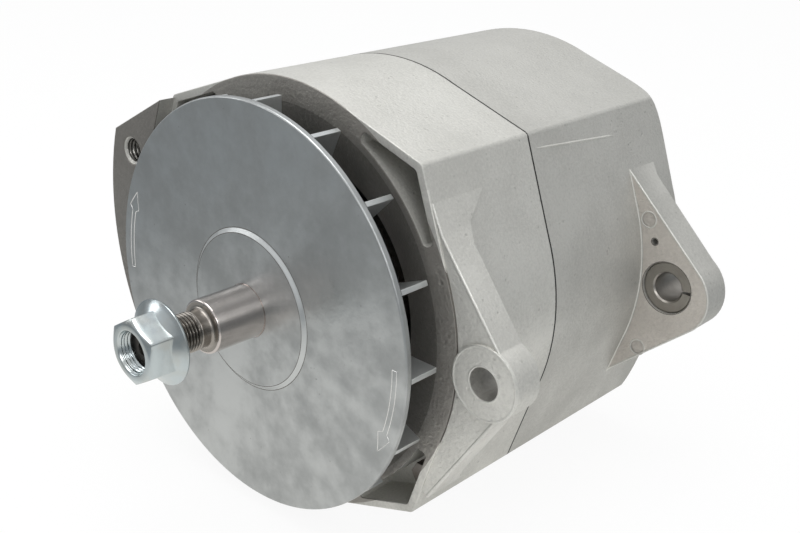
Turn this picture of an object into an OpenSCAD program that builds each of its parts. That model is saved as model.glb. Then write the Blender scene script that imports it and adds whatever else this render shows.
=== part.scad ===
// Heavy-duty brushless alternator with a hinge mount and an outside fan, in millimetres.
// The shaft axis is Y, the drive end points to -Y and Z is up. The origin is on the axis,
// at the face where the pulley hub meets the fan. Outlines are drawn as seen from the drive end.

/* [Housing] */
// Radius of the four round sides of the housing
body_r = 91.7; // [90.5:0.1:94]
// Distance that the four corner edges stand outside of the round sides
corner_out = 10.3; // [9.3:0.1:12]
// Radius of the rounding along each corner edge
corner_round = 2.5; // [1.5:0.1:3.5]
// Angle from each corner to the crease where its flats begin
crease_a = 23.7; // [22:0.1:24.5]
// Distance from the fan hub face back to the front face of the housing
face_y = 21.9; // [21:0.1:24]
// Length of the drive end frame
front_frame_l = 61.1; // [60:0.1:64]
// Length of the rear frame
rear_frame_l = 95.1; // [93:0.1:100]
// Thickness of the housing wall round the stator
wall = 6.2; // [5.5:0.1:7]
// Radius of the rounding at the rear corners
rear_round = 7; // [4:0.5:9]
// Width and depth of the shadow groove where the two frames meet
seam_w = 0.5; // [0.3:0.1:0.8]

/* [Front openings] */
// Distance from the round sides in to the edge of the dished inlet
dish_in = 7.7; // [7.7:0.1:9.5]
// Width of the dished ring, inside of which the air passes through
dish_w = 23; // [21:0.5:26]
// Depth of the dish
dish_depth = 9; // [7:0.5:10]
// Thickness of the wall between each corner pocket and the outside
pocket_wall = 3.5; // [3:0.1:4]
// Width of the rim between the dish and the corner pockets
pocket_rim = 0.8; // [0.6:0.1:2]
// Half of the angle between the rounded ends of each corner pocket
pocket_a = 14; // [12:0.5:16]
// Radius of the rounded ends of the corner pockets
pocket_end_r = 3.2; // [3.1:0.1:4]
// Depth of the corner pockets
pocket_depth = 18; // [12:0.5:22]
// Width of the three arms that carry the front bearing
arm_w = 13; // [10:0.5:16]

/* [Hinge mount] */
// Distance from the round side of the housing out to the hinge bolt axis
pivot_out = 13.2; // [12.5:0.1:16]
// Height of the hinge bolt axis above the shaft axis
pivot_z = -2.2; // [-3:0.1:0]
// Diameter of the hinge bolt holes
pivot_d = 13; // [12.5:0.1:13.6]
// Outer radius of the ring boss on the front ear
boss_r = 14.6; // [13.5:0.1:15.5]
// Radius of the front ear's plate round the bolt hole
ear_nose_r = 12.4; // [11:0.1:13]
// Distance that the front ear's plate lies behind the housing face
ear_step = 0.7; // [0.4:0.1:1.5]
// Thickness of the front ear's plate
ear_t = 12.6; // [11:0.1:14]
// Height of the ring boss above the front ear's plate
boss_h = 1.3; // [0.8:0.1:2]
// Clear distance between the two hinge ears
ear_gap = 111.8; // [109:0.1:114]
// Thickness of the rear ear
rear_ear_t = 15; // [13:0.5:17]
// Radius of the rear ear's nose
rear_nose_r = 18; // [16.5:0.5:19]
// Depth of the gusset behind the front ear where it meets the housing
gusset = 14; // [8:0.5:18]
// Depth of the gusset behind the rear ear where it meets the housing
rear_gusset = 4; // [3:0.5:7]
// Outside diameter of the split bushing in the rear ear
bushing_d = 23.4; // [22:0.1:24.5]
// Width of the slit in the bushing
slit_w = 1.3; // [1:0.1:2]
// Depth of the bushing's front end below the rear ear's face
bushing_sink = 1; // [0.5:0.1:1.5]
// Length of the bushing, which slides in the rear ear to take up the slack
bushing_l = 21; // [18:0.5:23]

/* [Adjusting ear] */
// Distance from the round side of the housing out to the threaded adjusting hole
adjust_out = 12.5; // [12:0.1:14.5]
// Angle of the adjusting hole, measured from the hinge side
adjust_a = 155; // [154:0.5:157]
// Tapping diameter of the adjusting hole
adjust_tap_d = 10.7; // [10:0.1:11.2]
// Diameter of the countersink at the adjusting hole
adjust_sink_d = 13.4; // [12.8:0.1:14]
// Height of the adjusting ear in front of the housing face
pad_h = 8; // [6:0.5:9]
// Thickness of the adjusting ear
pad_t = 24; // [20:0.5:28]
// Distance from the round side of the housing out to the adjusting ear's curved edge
pad_out = 27.3; // [26:0.1:29.5]
// Room between the fan and the inside of the adjusting ear
pad_gap = 8.5; // [6:0.5:9]

/* [Fan] */
// Distance that the fan's rim stays inside of the housing's round sides
fan_in = 5.7; // [5.2:0.1:8]
// Thickness of the fan disc at its rim
fan_t = 2.7; // [2.3:0.1:3.2]
// Radius of the raised hub seat on the fan's front
seat_r = 32.5; // [28:0.5:36]
// Height of the hub seat above the disc
seat_h = 1.3; // [0.8:0.1:1.8]
// Number of fan blades
blade_count = 16; // [12:1:18]
// Turn of the first blade from the hinge side
blade_phase = -1.5; // [-5:0.5:5]
// Thickness of a fan blade
blade_t = 2.2; // [1.8:0.1:3]
// Gap between the fan blades and the housing face
blade_gap = 3.9; // [3:0.1:5]
// Length of a fan blade along its radius
blade_l = 40; // [34:0.5:44]
// Outer radius of the fan's hub behind the disc
fan_hub_r = 20; // [18.5:0.5:22]

/* [Shaft and nut] */
// Diameter of the ground pulley seat
journal_d = 22.2; // [22:0.05:22.4]
// Diameter of the shaft where the fan and its collar sit
fan_seat_d = 22.6; // [22.5:0.05:23]
// Length of the pulley seat in front of the fan
journal_l = 22.7; // [21:0.1:26]
// Outside diameter of the shaft's thread
thread_d = 15.9; // [15.6:0.1:16.1]
// Distance from the fan hub face to the threaded end of the shaft
shaft_nose = 50; // [47:0.5:52]
// Width of the pulley nut across its flats
nut_af = 23.8; // [23:0.1:25]
// Diameter of the nut's flange
nut_flange_d = 34; // [31:0.5:36]
// Height of the nut with its flange
nut_h = 14.6; // [13:0.1:16]
// Distance that the nut is backed off from the end of the pulley seat
nut_back = 17.8; // [16:0.1:19]

/* [Bearings] */
// Bore of the front ball bearing
front_bore_d = 25; // [24.6:0.1:25.4]
// Outside diameter of the front ball bearing
front_od = 62; // [61.4:0.1:62.4]
// Wall thickness of the collar between the fan and the front bearing
collar_t = 6.2; // [5.8:0.1:6.8]
// Width of the front ball bearing
front_w = 17; // [16.5:0.1:17.5]
// Number of balls
ball_count = 9; // [7:1:9]
// Diameter of a ball
ball_d = 11.4; // [11:0.1:11.5]
// Bore of the rear roller bearing
rear_bore_d = 17; // [16.8:0.1:17.2]
// Outside diameter of the rear roller bearing
rear_od = 39; // [38.6:0.1:39.4]
// Width of the rear roller bearing
rear_w = 16; // [15.5:0.1:16.5]
// Number of rollers
roller_count = 12; // [9:1:12]
// Diameter of a roller
roller_d = 4.9; // [4.7:0.05:4.95]
// Distance from the housing face to the front bearing
bearing_in = 12.1; // [11.5:0.1:12.6]
// Thickness of the retainer plate behind the front bearing
retainer_t = 2.5; // [2:0.1:3]

/* [Rotor and stator] */
// Thickness of the stator's iron behind its slots
yoke_t = 9.6; // [9:0.1:10.2]
// Air gap between rotor and stator
air_gap = 0.4; // [0.35:0.05:0.6]
// Length that the claw-pole rotor has more than the stator's iron stack
rotor_extra = 12; // [10:0.5:13]
// Thickness of each pole disc
pole_t = 12; // [10:0.5:13]
// Radial thickness of the claws
claw_t = 10; // [9:0.5:11]
// Claws on each pole piece
claw_count = 6; // [4:1:6]
// Radial thickness of the field coil
coil_t = 11.3; // [10.5:0.1:12]
// Depth to which the stator's iron stack sits in the drive end frame
stack_in = 15; // [13:0.5:16]
// Length of the rear frame that the iron stack leaves for windings, bearing and rectifier
rear_room = 66.1; // [65.5:0.1:69]
// Number of stator slots
slot_count = 36; // [24:6:36]
// Depth of the stator slots behind their narrow mouths
slot_depth = 11.5; // [10:0.5:12]
// Width of a stator slot
slot_w = 6; // [5.4:0.1:6.4]
// Overhang of the winding at each end of the stack
winding_l = 17.5; // [15:0.5:18]
// Gap between the field coil and the claws around it
coil_gap = 4.5; // [4.2:0.1:7]
// Length of the rotor that is left on both sides of the field coil for discs and gaps
coil_ends = 34; // [33:0.5:38]
// Wall thickness of the tube that carries the field coil
support_t = 3.4; // [2.8:0.1:3.6]

/* [Rear end] */
// Thickness of the web that carries the rear bearing
web_t = 6; // [5:0.5:7]
// Distance that the rear cover stays inside of the housing's round sides
cover_in = 15.7; // [14.7:0.1:16.7]
// Width of the seat under the rear cover's rim
cover_seat = 12; // [11:0.5:13]
// Thickness of the rear cover
cover_t = 5; // [4:0.5:5.5]
// Number of screws that hold the rear cover
cover_screw_count = 6; // [4:1:8]
// Number of places for air slots round the rear cover
air_slot_count = 24; // [18:2:26]
// Width of an air slot
air_slot_w = 3.6; // [3:0.1:4.2]
// Length of an air slot between the centres of its ends
air_slot_l = 28; // [22:0.5:30]
// Thickness of the negative rectifier plate
neg_plate_t = 4; // [3.5:0.1:4.5]
// Thickness of the positive rectifier plate
pos_plate_t = 4; // [3.5:0.1:4.5]
// Gap between the two rectifier plates
plate_gap = 7; // [6.5:0.1:7.5]
// Diameter of a pressed-in diode
diode_d = 12.6; // [11:0.1:13]
// Diameter of the output stud
output_d = 8; // [6:0.5:8]
// Diameter of the stud's shank inside the housing and its nut
output_shank_d = 8.6; // [8.5:0.1:9]
// Length of the output stud beyond the rear cover
output_l = 20; // [17:0.5:24]
// Radial thickness of the output stud's insulator inside the cover
insulator_t = 4; // [3:0.5:5]
// Height of the nut on the output stud, with its washer
output_nut_h = 6.5; // [5.5:0.1:8]
// Diameter of the two signal studs
signal_d = 4.8; // [4:0.2:5]
// Length of the signal studs beyond the rear cover
signal_l = 12; // [9:0.5:15]

/* [Fits] */
// Radial clearance of a seated or pressed part
fit_gap = 0.02; // [0.01:0.01:0.05]
// Radial clearance of the nut on its thread
thread_gap = 0.05; // [0.03:0.01:0.08]
// Clearance of balls and rollers in their tracks and cages
track_gap = 0.06; // [0.04:0.01:0.09]
// Clearance between parts that turn and parts that stand still
run_gap = 0.8; // [0.6:0.1:1]
// Diameter of the through bolts
through_d = 6; // [5:0.5:6.5]
// Metal between the through bolts and the stator's seat
through_wall = 2.5; // [2.2:0.1:3]
// Diameter of the small screws
screw_d = 4; // [3:0.5:4.5]

/* [Hidden] */
$fn = 96;
eps = 0.05;

// Radii and places that follow the housing's size
corner_r = body_r + corner_out;
dish_r = body_r - dish_in;
inlet_r = dish_r - dish_w;
pocket_r = dish_r + pocket_rim;
pivot_x = body_r + pivot_out;
adjust_r = body_r + adjust_out;
pad_edge_r = body_r + pad_out;
fan_r = body_r - fan_in;
blade_in_r = fan_r - blade_l;
cover_r = body_r - cover_in;
hatch_r = cover_r - cover_seat;
stator_r = body_r - wall;
through_r = stator_r + through_d / 2 + through_wall;
slot_mouth = 2;
stator_in_r = stator_r - yoke_t - slot_depth - slot_mouth;
rotor_r = stator_in_r - air_gap;

// Main stations along the shaft
joint_y = face_y + front_frame_l;
stack_y = joint_y - stack_in;
stack_l = stack_in + rear_frame_l - rear_room;
rotor_l = stack_l + rotor_extra;
coil_l = rotor_l - coil_ends;
rear_y = joint_y + rear_frame_l;
plate_y = face_y + ear_step;
ear_back_y = plate_y + ear_t;
rear_ear_y = ear_back_y + ear_gap;
bushing_y = rear_ear_y + bushing_sink;
pad_y = face_y - pad_h;
fan_back_y = seat_h + fan_t;
blade_y = face_y - blade_gap;
front_y = face_y + bearing_in;
front_end_y = front_y + front_w;
collar_l = 16;
fan_hub_y = front_y - collar_l;
rotor_y = stack_y + stack_l / 2 - rotor_l / 2;
web_y = stack_y + stack_l + winding_l + 4.5;
rear_bearing_y = web_y + web_t + 9;
rear_bearing_end = rear_bearing_y + rear_w;
cover_y = rear_y - cover_t;
hatch_y = cover_y - 5;
washer_y = rear_y + 2.5;
output_nut_y = washer_y + output_nut_h;
neg_y = web_y + web_t + 10;
pos_y = neg_y + neg_plate_t + plate_gap;

// Places and radii that several parts share
claw_in_r = rotor_r - claw_t;
disc_r = claw_in_r - 1;
coil_r = claw_in_r - coil_gap;
bobbin_t = 2;
coil_in_r = coil_r - coil_t;
support_r = coil_in_r - bobbin_t;
support_in_r = support_r - support_t;
core_r = support_in_r - run_gap;
coil_mid_y = rotor_y + rotor_l / 2;
support_flange_t = 5;
support_screw_r = hatch_r - 20;
collar_r = fan_seat_d / 2 + collar_t;
retainer_screw_r = front_od / 2 + 5.5;
hub_r = retainer_screw_r + 5.5;
web_ring_r = hatch_r - 12;
wall_r = stator_r + 4;
web_arm_a = [60, 180, 300];
lead_a = [30, 80, 130];
lead_r = hatch_r + 3;
plate_in_r = hatch_r - 30;
plate_out_r = hatch_r - 1;
plate_screw_a = [5, 57, 157];
plate_screw_r = hatch_r - 7;
neg_diode_r = hatch_r - 22;
pos_diode_r = hatch_r - 9;
regulator_x = 30;
regulator_h = 12;
regulator_z = [-hatch_r - 4, 24 - hatch_r];
regulator_screw = [22, 6 - hatch_r];
capacitor_r = 6.5;
capacitor_l = 16;
rib_grip = 7;
capacitor_at = [hatch_r - 4, 205];
cover_screw_r = (hatch_r + cover_r) / 2;
slot_out_r = hatch_r - 6;
slot_in_r = slot_out_r - air_slot_l;
output_at = [hatch_r - 10, 105];
signal_at = [[hatch_r - 14, 140], [hatch_r - 14, 160]];
ground_at = [body_r - 2.7, 225];
ball_track_r = (front_bore_d + front_od) / 4;
ball_mid_y = front_y + front_w / 2;
roller_track_r = (rear_bore_d + rear_od) / 4 - 0.5;
roller_l = rear_w - 3;
shaft_core_r = 15;
shaft_rear_r = 12;

function turn_between(a, b) = abs((a - b + 540) % 360 - 180);

// Draws a flat outline as a slab from y0 to y1
module slab(y0, y1) {
    translate([0, y1, 0]) rotate([90, 0, 0]) linear_extrude(y1 - y0) children();
}

// Turns a profile of radius and station round the shaft axis
module turned() {
    rotate([-90, 0, 0]) rotate_extrude() children();
}

module spin(a) {
    rotate([0, -a, 0]) children();
}

// Places children at a radius and an angle from the hinge side
module at(r, a) {
    translate([r * cos(a), 0, r * sin(a)]) children();
}

module rod(r, y0, y1) {
    translate([0, y0, 0]) rotate([-90, 0, 0]) cylinder(r = r, h = y1 - y0);
}

module ring(r_in, r_out, y0, y1) {
    difference() {
        rod(r_out, y0, y1);
        rod(r_in, y0 - eps, y1 + eps);
    }
}

// Straight arm along a radius
module spoke(a, r0, r1, y0, y1, w) {
    spin(a) translate([r0, y0, -w / 2]) cube([r1 - r0, y1 - y0, w]);
}

// Flat ring between two radii and two angles, as a flat shape
module sector(r_in, r_out, a0, a1) {
    reach = r_out / cos((a1 - a0) / 4) + 1;
    mid = (a0 + a1) / 2;
    intersection() {
        difference() {
            circle(r = r_out);
            circle(r = r_in);
        }
        polygon([[0, 0], for (a = [a0, (a0 + mid) / 2, mid, (mid + a1) / 2, a1])
            reach * [cos(a), sin(a)]]);
    }
}

// Screw with a round head on the side of -Y
module screw(d, y0, y1, head_d, head_h) {
    rod(d / 2, y0, y1);
    rod(head_d / 2, y0 - head_h, y0);
}

module hex(af, y0, y1) {
    slab(y0, y1) circle(r = af / 2 / cos(30), $fn = 6);
}

// Rounded square of the housing, r on its sides and rc where the flats of a corner would meet
module outline(r, rc) {
    crease = r * [cos(crease_a), sin(crease_a)];
    inner = [rc, 0] + 1.15 * (crease - [rc, 0]);
    flat_a = atan2(crease[1], rc - crease[0]);
    centre = rc - corner_round / sin(flat_a);
    tip = (corner_round - 0.02) * [sin(flat_a), cos(flat_a)] + [centre, 0];
    circle(r = r);
    for (k = [0 : 3])
        rotate(45 + 90 * k) {
            translate([centre, 0]) circle(r = corner_round);
            polygon([[0, 0], [inner[0], -inner[1]], [tip[0], -tip[1]], tip, inner]);
        }
}

// Ear outline: a nose of radius r round c, with straight edges to two root points
module ear_outline(c, r, top, bottom) {
    crease = 3;
    r_in = r - 0.2;
    up = top - c;
    down = bottom - c;
    a_up = atan2(up[1], up[0]) - acos(r / norm(up)) + crease;
    a_down = atan2(down[1], down[0]) + acos(r / norm(down)) - crease;
    translate(c) circle(r = r);
    polygon([top, c + r_in * [cos(a_up), sin(a_up)], c, c + r_in * [cos(a_down), sin(a_down)],
        bottom, [bottom[0] - 20, bottom[1] + 14], [top[0] - 20, top[1] - 14]]);
}

// Cuts an ear to its thickness, with a gusset that deepens towards the housing
module ear_depth(y0, y1, depth) {
    translate([0, 0, -corner_r]) linear_extrude(2 * corner_r)
        polygon([[corner_r * 0.4, y0], [pivot_x + 30, y0], [pivot_x + 30, y1],
            [pivot_x - 19, y1 + 1], [pivot_x - 23.5, y1 + 4], [pivot_x - 28, y1 + depth + 2],
            [corner_r * 0.4, y1 + depth + 2]]);
}

// Front ear, with a shoulder between its straight edge and the upper corner of the housing
module front_ear() {
    root = [body_r - 14.8, 58.6];
    bend = [body_r - 9.4, 47.5];
    intersection() {
        slab(plate_y, ear_back_y + gusset + 3) {
            ear_outline([pivot_x, pivot_z], ear_nose_r, bend, [body_r - 12.5, -62]);
            polygon([root, bend, bend - [20, 20], root - [20, 20]]);
        }
        ear_depth(plate_y, ear_back_y, gusset);
    }
    translate([pivot_x, 0, pivot_z]) rod(boss_r, plate_y - boss_h, ear_back_y);
}

module rear_ear() {
    c = [pivot_x + 2.1, pivot_z - 2.4];
    intersection() {
        slab(rear_ear_y, rear_ear_y + rear_ear_t + rear_gusset + 3)
            ear_outline(c, rear_nose_r, [body_r - 13.7, 49], [body_r - 12.7, -51]);
        ear_depth(rear_ear_y, rear_ear_y + rear_ear_t, rear_gusset);
    }
}

// Adjusting ear: from the upper left corner its edge sweeps down to the lower left corner
module adjusting_ear() {
    corner = corner_r * cos(45) - 1;
    outside = [[-corner, corner], [-corner - 40, corner - 21.5],
        [-corner - 60, -corner - 20], [-corner, -corner]];
    slab(face_y, pad_y + pad_t) intersection() {
        translate([6.5, 14]) circle(r = pad_edge_r);
        polygon(concat(outside, [[-corner + 20, 0]]));
    }
    slab(pad_y, face_y + 1) difference() {
        intersection() {
            translate([6.5, 14]) circle(r = pad_edge_r);
            polygon(concat(outside, [[-corner + 10, 0], [-corner - 7, corner - 18]]));
        }
        circle(r = fan_r + pad_gap);
    }
}

// Corner pocket with rounded ends, as a flat shape
module pocket() {
    reach = corner_r / cos(pocket_a);
    middle_r = (pocket_r + body_r - pocket_wall + 2) / 2;
    difference() {
        intersection() {
            outline(body_r - pocket_wall, corner_r - pocket_wall * 1.1);
            union() {
                polygon([[0, 0], for (s = [-1, 1]) reach * [cos(45 + s * pocket_a), sin(45 + s * pocket_a)]]);
                for (s = [-1, 1])
                    rotate(45 + s * pocket_a) translate([middle_r, 0]) circle(r = pocket_end_r);
            }
        }
        circle(r = pocket_r);
    }
}

// Inside of the drive end frame, as radius and station
module front_cavity() {
    shell = dish_depth + 5;
    turned() polygon([
        [0, pad_y - 2], [dish_r, pad_y - 2], [dish_r, face_y],
        for (k = [1 : 5]) let (t = k / 5)
            [dish_r + (inlet_r - dish_r) * t, face_y + dish_depth * (0.35 * t + 0.65 * t * t)],
        [inlet_r, face_y + shell], [stator_r - 5.5, face_y + shell + 14],
        [stator_r - 5.5, stack_y], [stator_r + fit_gap, stack_y],
        [stator_r + fit_gap, joint_y + 1], [0, joint_y + 1]
    ]);
}

module drive_end_frame() color([0.72, 0.71, 0.68]) difference() {
    union() {
        difference() {
            union() {
                slab(face_y, joint_y) outline(body_r, corner_r);
                front_ear();
                adjusting_ear();
            }
            front_cavity();
            for (k = [0 : 3])
                spin(90 * k) slab(face_y - 1, face_y + pocket_depth) pocket();
        }
        rod(hub_r, front_y - 4, front_end_y);
        for (k = [0 : 2])
            spoke(90 + 120 * k, hub_r - 3, inlet_r + 8, front_y, front_y + 12, arm_w);
    }
    rod(front_od / 2 + fit_gap, front_y, front_end_y + 1);
    rod(collar_r + run_gap, front_y - 5, front_y + 1);
    for (k = [0 : 2])
        spin(30 + 120 * k) at(retainer_screw_r, 0)
            rod(screw_d / 2 + fit_gap, front_end_y - 10, front_end_y + 1);
    for (k = [0 : 3])
        at(through_r, 45 + 90 * k) rod(through_d / 2 + 0.3, face_y + 1, joint_y + 1);
    translate([pivot_x, 0, pivot_z]) rod(pivot_d / 2, plate_y - 5, ear_back_y + 5);
    at(adjust_r, adjust_a) {
        rod(adjust_tap_d / 2, pad_y - 1, pad_y + pad_t + 1);
        turned() polygon([[0, pad_y - 1], [adjust_sink_d / 2 + 1, pad_y - 1],
            [adjust_sink_d / 2, pad_y], [adjust_tap_d / 2, pad_y + 1.4], [0, pad_y + 1.4]]);
    }
}

// Inside of the rear frame, leaving bosses for the through bolts
module rear_cavity() {
    difference() {
        slab(stack_y + stack_l, hatch_y)
            outline(body_r - wall, corner_r - wall * 1.1);
        for (k = [0 : 3])
            at(through_r, 45 + 90 * k) rod(through_d / 2 + 4, joint_y, joint_y + 40);
        at(ground_at[0], ground_at[1]) rod(8, cover_y - 15, rear_y);
    }
}

module rear_web() {
    ring(shaft_rear_r + run_gap, web_ring_r, web_y, web_y + web_t);
    ring(shaft_rear_r + run_gap, rear_od / 2 + 6, web_y, rear_bearing_y);
    ring(rear_od / 2 + fit_gap, rear_od / 2 + 6, rear_bearing_y, rear_bearing_end + 1);
    rod(rear_od / 2 + 6, rear_bearing_end + 1, rear_bearing_end + 3);
    for (a = web_arm_a)
        spoke(a, web_ring_r - 3, wall_r, web_y, web_y + web_t, 16);
}

// Ribs on the wall that the rectifier, regulator and capacitor stand on
module rear_ribs() {
    for (a = plate_screw_a)
        spoke(a, plate_screw_r - 5, wall_r, web_y, neg_y, 10);
    for (s = [-1, 1])
        translate([s * regulator_screw[0] - 5, web_y, -stator_r - 1])
            cube([10, neg_y - web_y, stator_r + regulator_screw[1] + 6]);
    spoke(capacitor_at[1], capacitor_at[0] - 7, wall_r, web_y, neg_y, 12);
}

// Groove round the front edge of the rear frame, as wide as it is deep
module seam() {
    difference() {
        slab(joint_y - 1, joint_y + seam_w) outline(body_r + 5, corner_r + 5);
        slab(joint_y - 2, joint_y + seam_w + 1)
            outline(body_r - seam_w, corner_r - seam_w * 1.1);
    }
}

module rear_frame() color([0.74, 0.73, 0.70]) difference() {
    union() {
        difference() {
            union() {
                intersection() {
                    slab(joint_y, rear_y) outline(body_r, corner_r);
                    turned() polygon([[0, joint_y - 1], [corner_r + 0.5, joint_y - 1],
                        for (a = [0 : 15 : 90])
                            [corner_r + 0.5 - rear_round * (1 - cos(a)),
                             rear_y - rear_round * (1 - sin(a))],
                        [0, rear_y]]);
                }
                rear_ear();
            }
            rod(stator_r + fit_gap, joint_y - 1, stack_y + stack_l);
            rear_cavity();
            rod(hatch_r, hatch_y - 1, rear_y + 1);
            rod(cover_r + fit_gap, cover_y, rear_y + rear_ear_t + rear_gusset);
        }
        rear_web();
        rear_ribs();
    }
    for (k = [0 : 3])
        at(through_r, 45 + 90 * k) rod(through_d / 2 + fit_gap, joint_y - 1, joint_y + 30);
    for (k = [0 : 2])
        at(support_screw_r, web_arm_a[k]) rod(screw_d / 2 + fit_gap, web_y - 1, web_y + web_t + 1);
    for (k = [0 : cover_screw_count - 1])
        at(cover_screw_r, 360 / cover_screw_count * k) rod(screw_d / 2 + fit_gap, hatch_y - 1, cover_y + 1);
    for (a = plate_screw_a)
        at(plate_screw_r, a) rod(screw_d / 2 + fit_gap, neg_y - rib_grip - 1, neg_y + 1);
    for (s = [-1, 1])
        translate([s * regulator_screw[0], 0, regulator_screw[1]])
            rod(screw_d / 2 + fit_gap, neg_y - rib_grip - 1, neg_y + 1);
    at(ground_at[0], ground_at[1]) rod(through_d / 2 + fit_gap, rear_y - 14, rear_y + 1);
    seam();
    translate([pivot_x, 0, pivot_z])
        rod(bushing_d / 2 + fit_gap, rear_ear_y - 1, rear_ear_y + rear_ear_t + 2);
    translate([pivot_x - 8, 0, pivot_z + 19.4]) rod(1.4, rear_ear_y - 1, rear_ear_y + 7);
    for (p = [[-12, 28.5], [-11, -32]])
        translate([pivot_x + p[0], 0, pivot_z + p[1]]) rod(3.6, rear_ear_y - 1, rear_ear_y + 0.4);
}

module rear_cover() color([0.70, 0.69, 0.66]) difference() {
    rod(cover_r, cover_y, rear_y);
    for (k = [0 : cover_screw_count - 1])
        at(cover_screw_r, 360 / cover_screw_count * k)
            rod(screw_d / 2 + fit_gap, cover_y - 1, rear_y + 1);
    for (k = [0 : air_slot_count - 1])
        let (a = 360 / air_slot_count * k)
            if (min([for (p = concat([output_at], signal_at)) turn_between(a, p[1])]) > 12.5)
                spin(a) slab(cover_y - 1, rear_y + 1) {
                    translate([slot_in_r, -air_slot_w / 2]) square([slot_out_r - slot_in_r, air_slot_w]);
                    for (r = [slot_in_r, slot_out_r])
                        translate([r, 0]) circle(r = air_slot_w / 2 + fit_gap);
                }
    at(output_at[0], output_at[1])
        rod(output_shank_d / 2 + insulator_t, cover_y - 1, rear_y + 1);
    for (p = signal_at)
        at(p[0], p[1]) rod(signal_d / 2 + 3, cover_y - 1, rear_y + 1);
}

module cover_screws() color([0.55, 0.56, 0.58])
    for (k = [0 : cover_screw_count - 1])
        at(cover_screw_r, 360 / cover_screw_count * k) {
            rod(screw_d / 2, hatch_y, rear_y);
            rod(screw_d * 0.95, rear_y, rear_y + 2.6);
        }

module through_bolts() color([0.50, 0.50, 0.52])
    for (k = [0 : 3])
        at(through_r, 45 + 90 * k) {
            rod(through_d / 2, face_y + pocket_depth - 2, joint_y + 28);
            hex(through_d * 1.6, face_y + pocket_depth - 4.2, face_y + pocket_depth);
        }

module pivot_bushing() color([0.32, 0.31, 0.30])
    translate([pivot_x, 0, pivot_z]) difference() {
        ring(pivot_d / 2, bushing_d / 2, bushing_y, bushing_y + bushing_l);
        translate([0, bushing_y - 1, -slit_w / 2]) cube([bushing_d, bushing_l + 2, slit_w]);
    }

module fan() color([0.62, 0.65, 0.67]) {
    difference() {
        union() {
            turned() polygon([[0, 0], [seat_r, 0], [seat_r + 1.4, seat_h],
                [fan_r - 0.5, seat_h], [fan_r, seat_h + 0.5], [fan_r, fan_back_y],
                [fan_hub_r + 12, fan_back_y + 1], [fan_hub_r + 1, fan_back_y + 4],
                [fan_hub_r, fan_hub_y], [0, fan_hub_y]]);
            for (k = [0 : blade_count - 1])
                spin(blade_phase + 360 / blade_count * k)
                    intersection() {
                        translate([0, 0, -blade_t / 2]) linear_extrude(blade_t)
                            polygon([[blade_in_r, seat_h + 0.6], [fan_r, seat_h + 0.6],
                                [fan_r, blade_y], [blade_in_r + 8, blade_y]]);
                        rod(fan_r - 0.3, 0, blade_y + 1);
                    }
        }
        rod(fan_seat_d / 2 + fit_gap, -1, fan_hub_y + 1);
    }
}

module fan_collar() color([0.55, 0.54, 0.52])
    ring(fan_seat_d / 2 + fit_gap, collar_r, fan_hub_y, front_y);

module rotor_shaft() color([0.66, 0.62, 0.59]) turned() polygon([
    [0, -shaft_nose], [thread_d / 2 - 1.2, -shaft_nose], [thread_d / 2, -shaft_nose + 1.2],
    [thread_d / 2, -journal_l], [journal_d / 2 - 0.8, -journal_l],
    [journal_d / 2, -journal_l + 0.8], [journal_d / 2, 0],
    [fan_seat_d / 2, 0], [fan_seat_d / 2, front_y],
    [front_bore_d / 2, front_y], [front_bore_d / 2, front_end_y],
    [shaft_core_r + 2, front_end_y], [shaft_core_r + 2, rotor_y],
    [shaft_core_r, rotor_y], [shaft_core_r, rotor_y + rotor_l],
    [shaft_rear_r, rotor_y + rotor_l], [shaft_rear_r, rear_bearing_y],
    [rear_bore_d / 2, rear_bearing_y], [rear_bore_d / 2, rear_bearing_end],
    [0, rear_bearing_end]
]);

module pulley_nut() color([0.76, 0.80, 0.84]) {
    back = -journal_l - nut_back;
    front = back - nut_h;
    corner = nut_af / 2 / cos(30);
    difference() {
        union() {
            intersection() {
                hex(nut_af, front, back - 2);
                turned() polygon([[0, front], [corner - 2, front], [corner + 0.2, front + 1.3],
                    [corner + 0.2, back], [0, back]]);
            }
            turned() polygon([[0, back - 8], [nut_af / 2 - 0.3, back - 8],
                [nut_flange_d / 2 - 1, back - 2.4], [nut_flange_d / 2, back - 1.6],
                [nut_flange_d / 2 - 0.6, back], [0, back]]);
        }
        rod(thread_d / 2 + thread_gap, front - 1, back + 1);
        turned() polygon([[0, front - 1], [thread_d / 2 + 1.6, front - 1],
            [thread_d / 2 + 0.6, front], [0, front + 8]]);
    }
}

// Groove for the balls, with the clearance that they run in
module ball_track() {
    turned() translate([ball_track_r, ball_mid_y]) circle(r = ball_d / 2 + track_gap);
}

module front_bearing_outer_race() color([0.60, 0.61, 0.63]) difference() {
    ring(ball_track_r + ball_d * 0.3, front_od / 2, front_y, front_end_y);
    ball_track();
    rod(ball_track_r + ball_d * 0.42, front_y - 1, front_y + 2);
    rod(ball_track_r + ball_d * 0.42, front_end_y - 2, front_end_y + 1);
}

module front_bearing_inner_race() color([0.60, 0.61, 0.63]) difference() {
    ring(front_bore_d / 2 + fit_gap, ball_track_r - ball_d * 0.3, front_y, front_end_y);
    ball_track();
}

module front_bearing_balls() color([0.75, 0.76, 0.78])
    for (k = [0 : ball_count - 1])
        at(ball_track_r, 360 / ball_count * k) translate([0, ball_mid_y, 0]) sphere(d = ball_d);

module front_bearing_cage() color([0.70, 0.58, 0.35]) difference() {
    ring(ball_track_r - 1.7, ball_track_r + 1.7, ball_mid_y - ball_d / 2 - 0.9,
        ball_mid_y + ball_d / 2 + 0.9);
    for (k = [0 : ball_count - 1])
        spin(360 / ball_count * k)
            translate([ball_track_r - 4, ball_mid_y, 0]) rotate([0, 90, 0])
                cylinder(r = ball_d / 2 + track_gap, h = 8);
}

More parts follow.
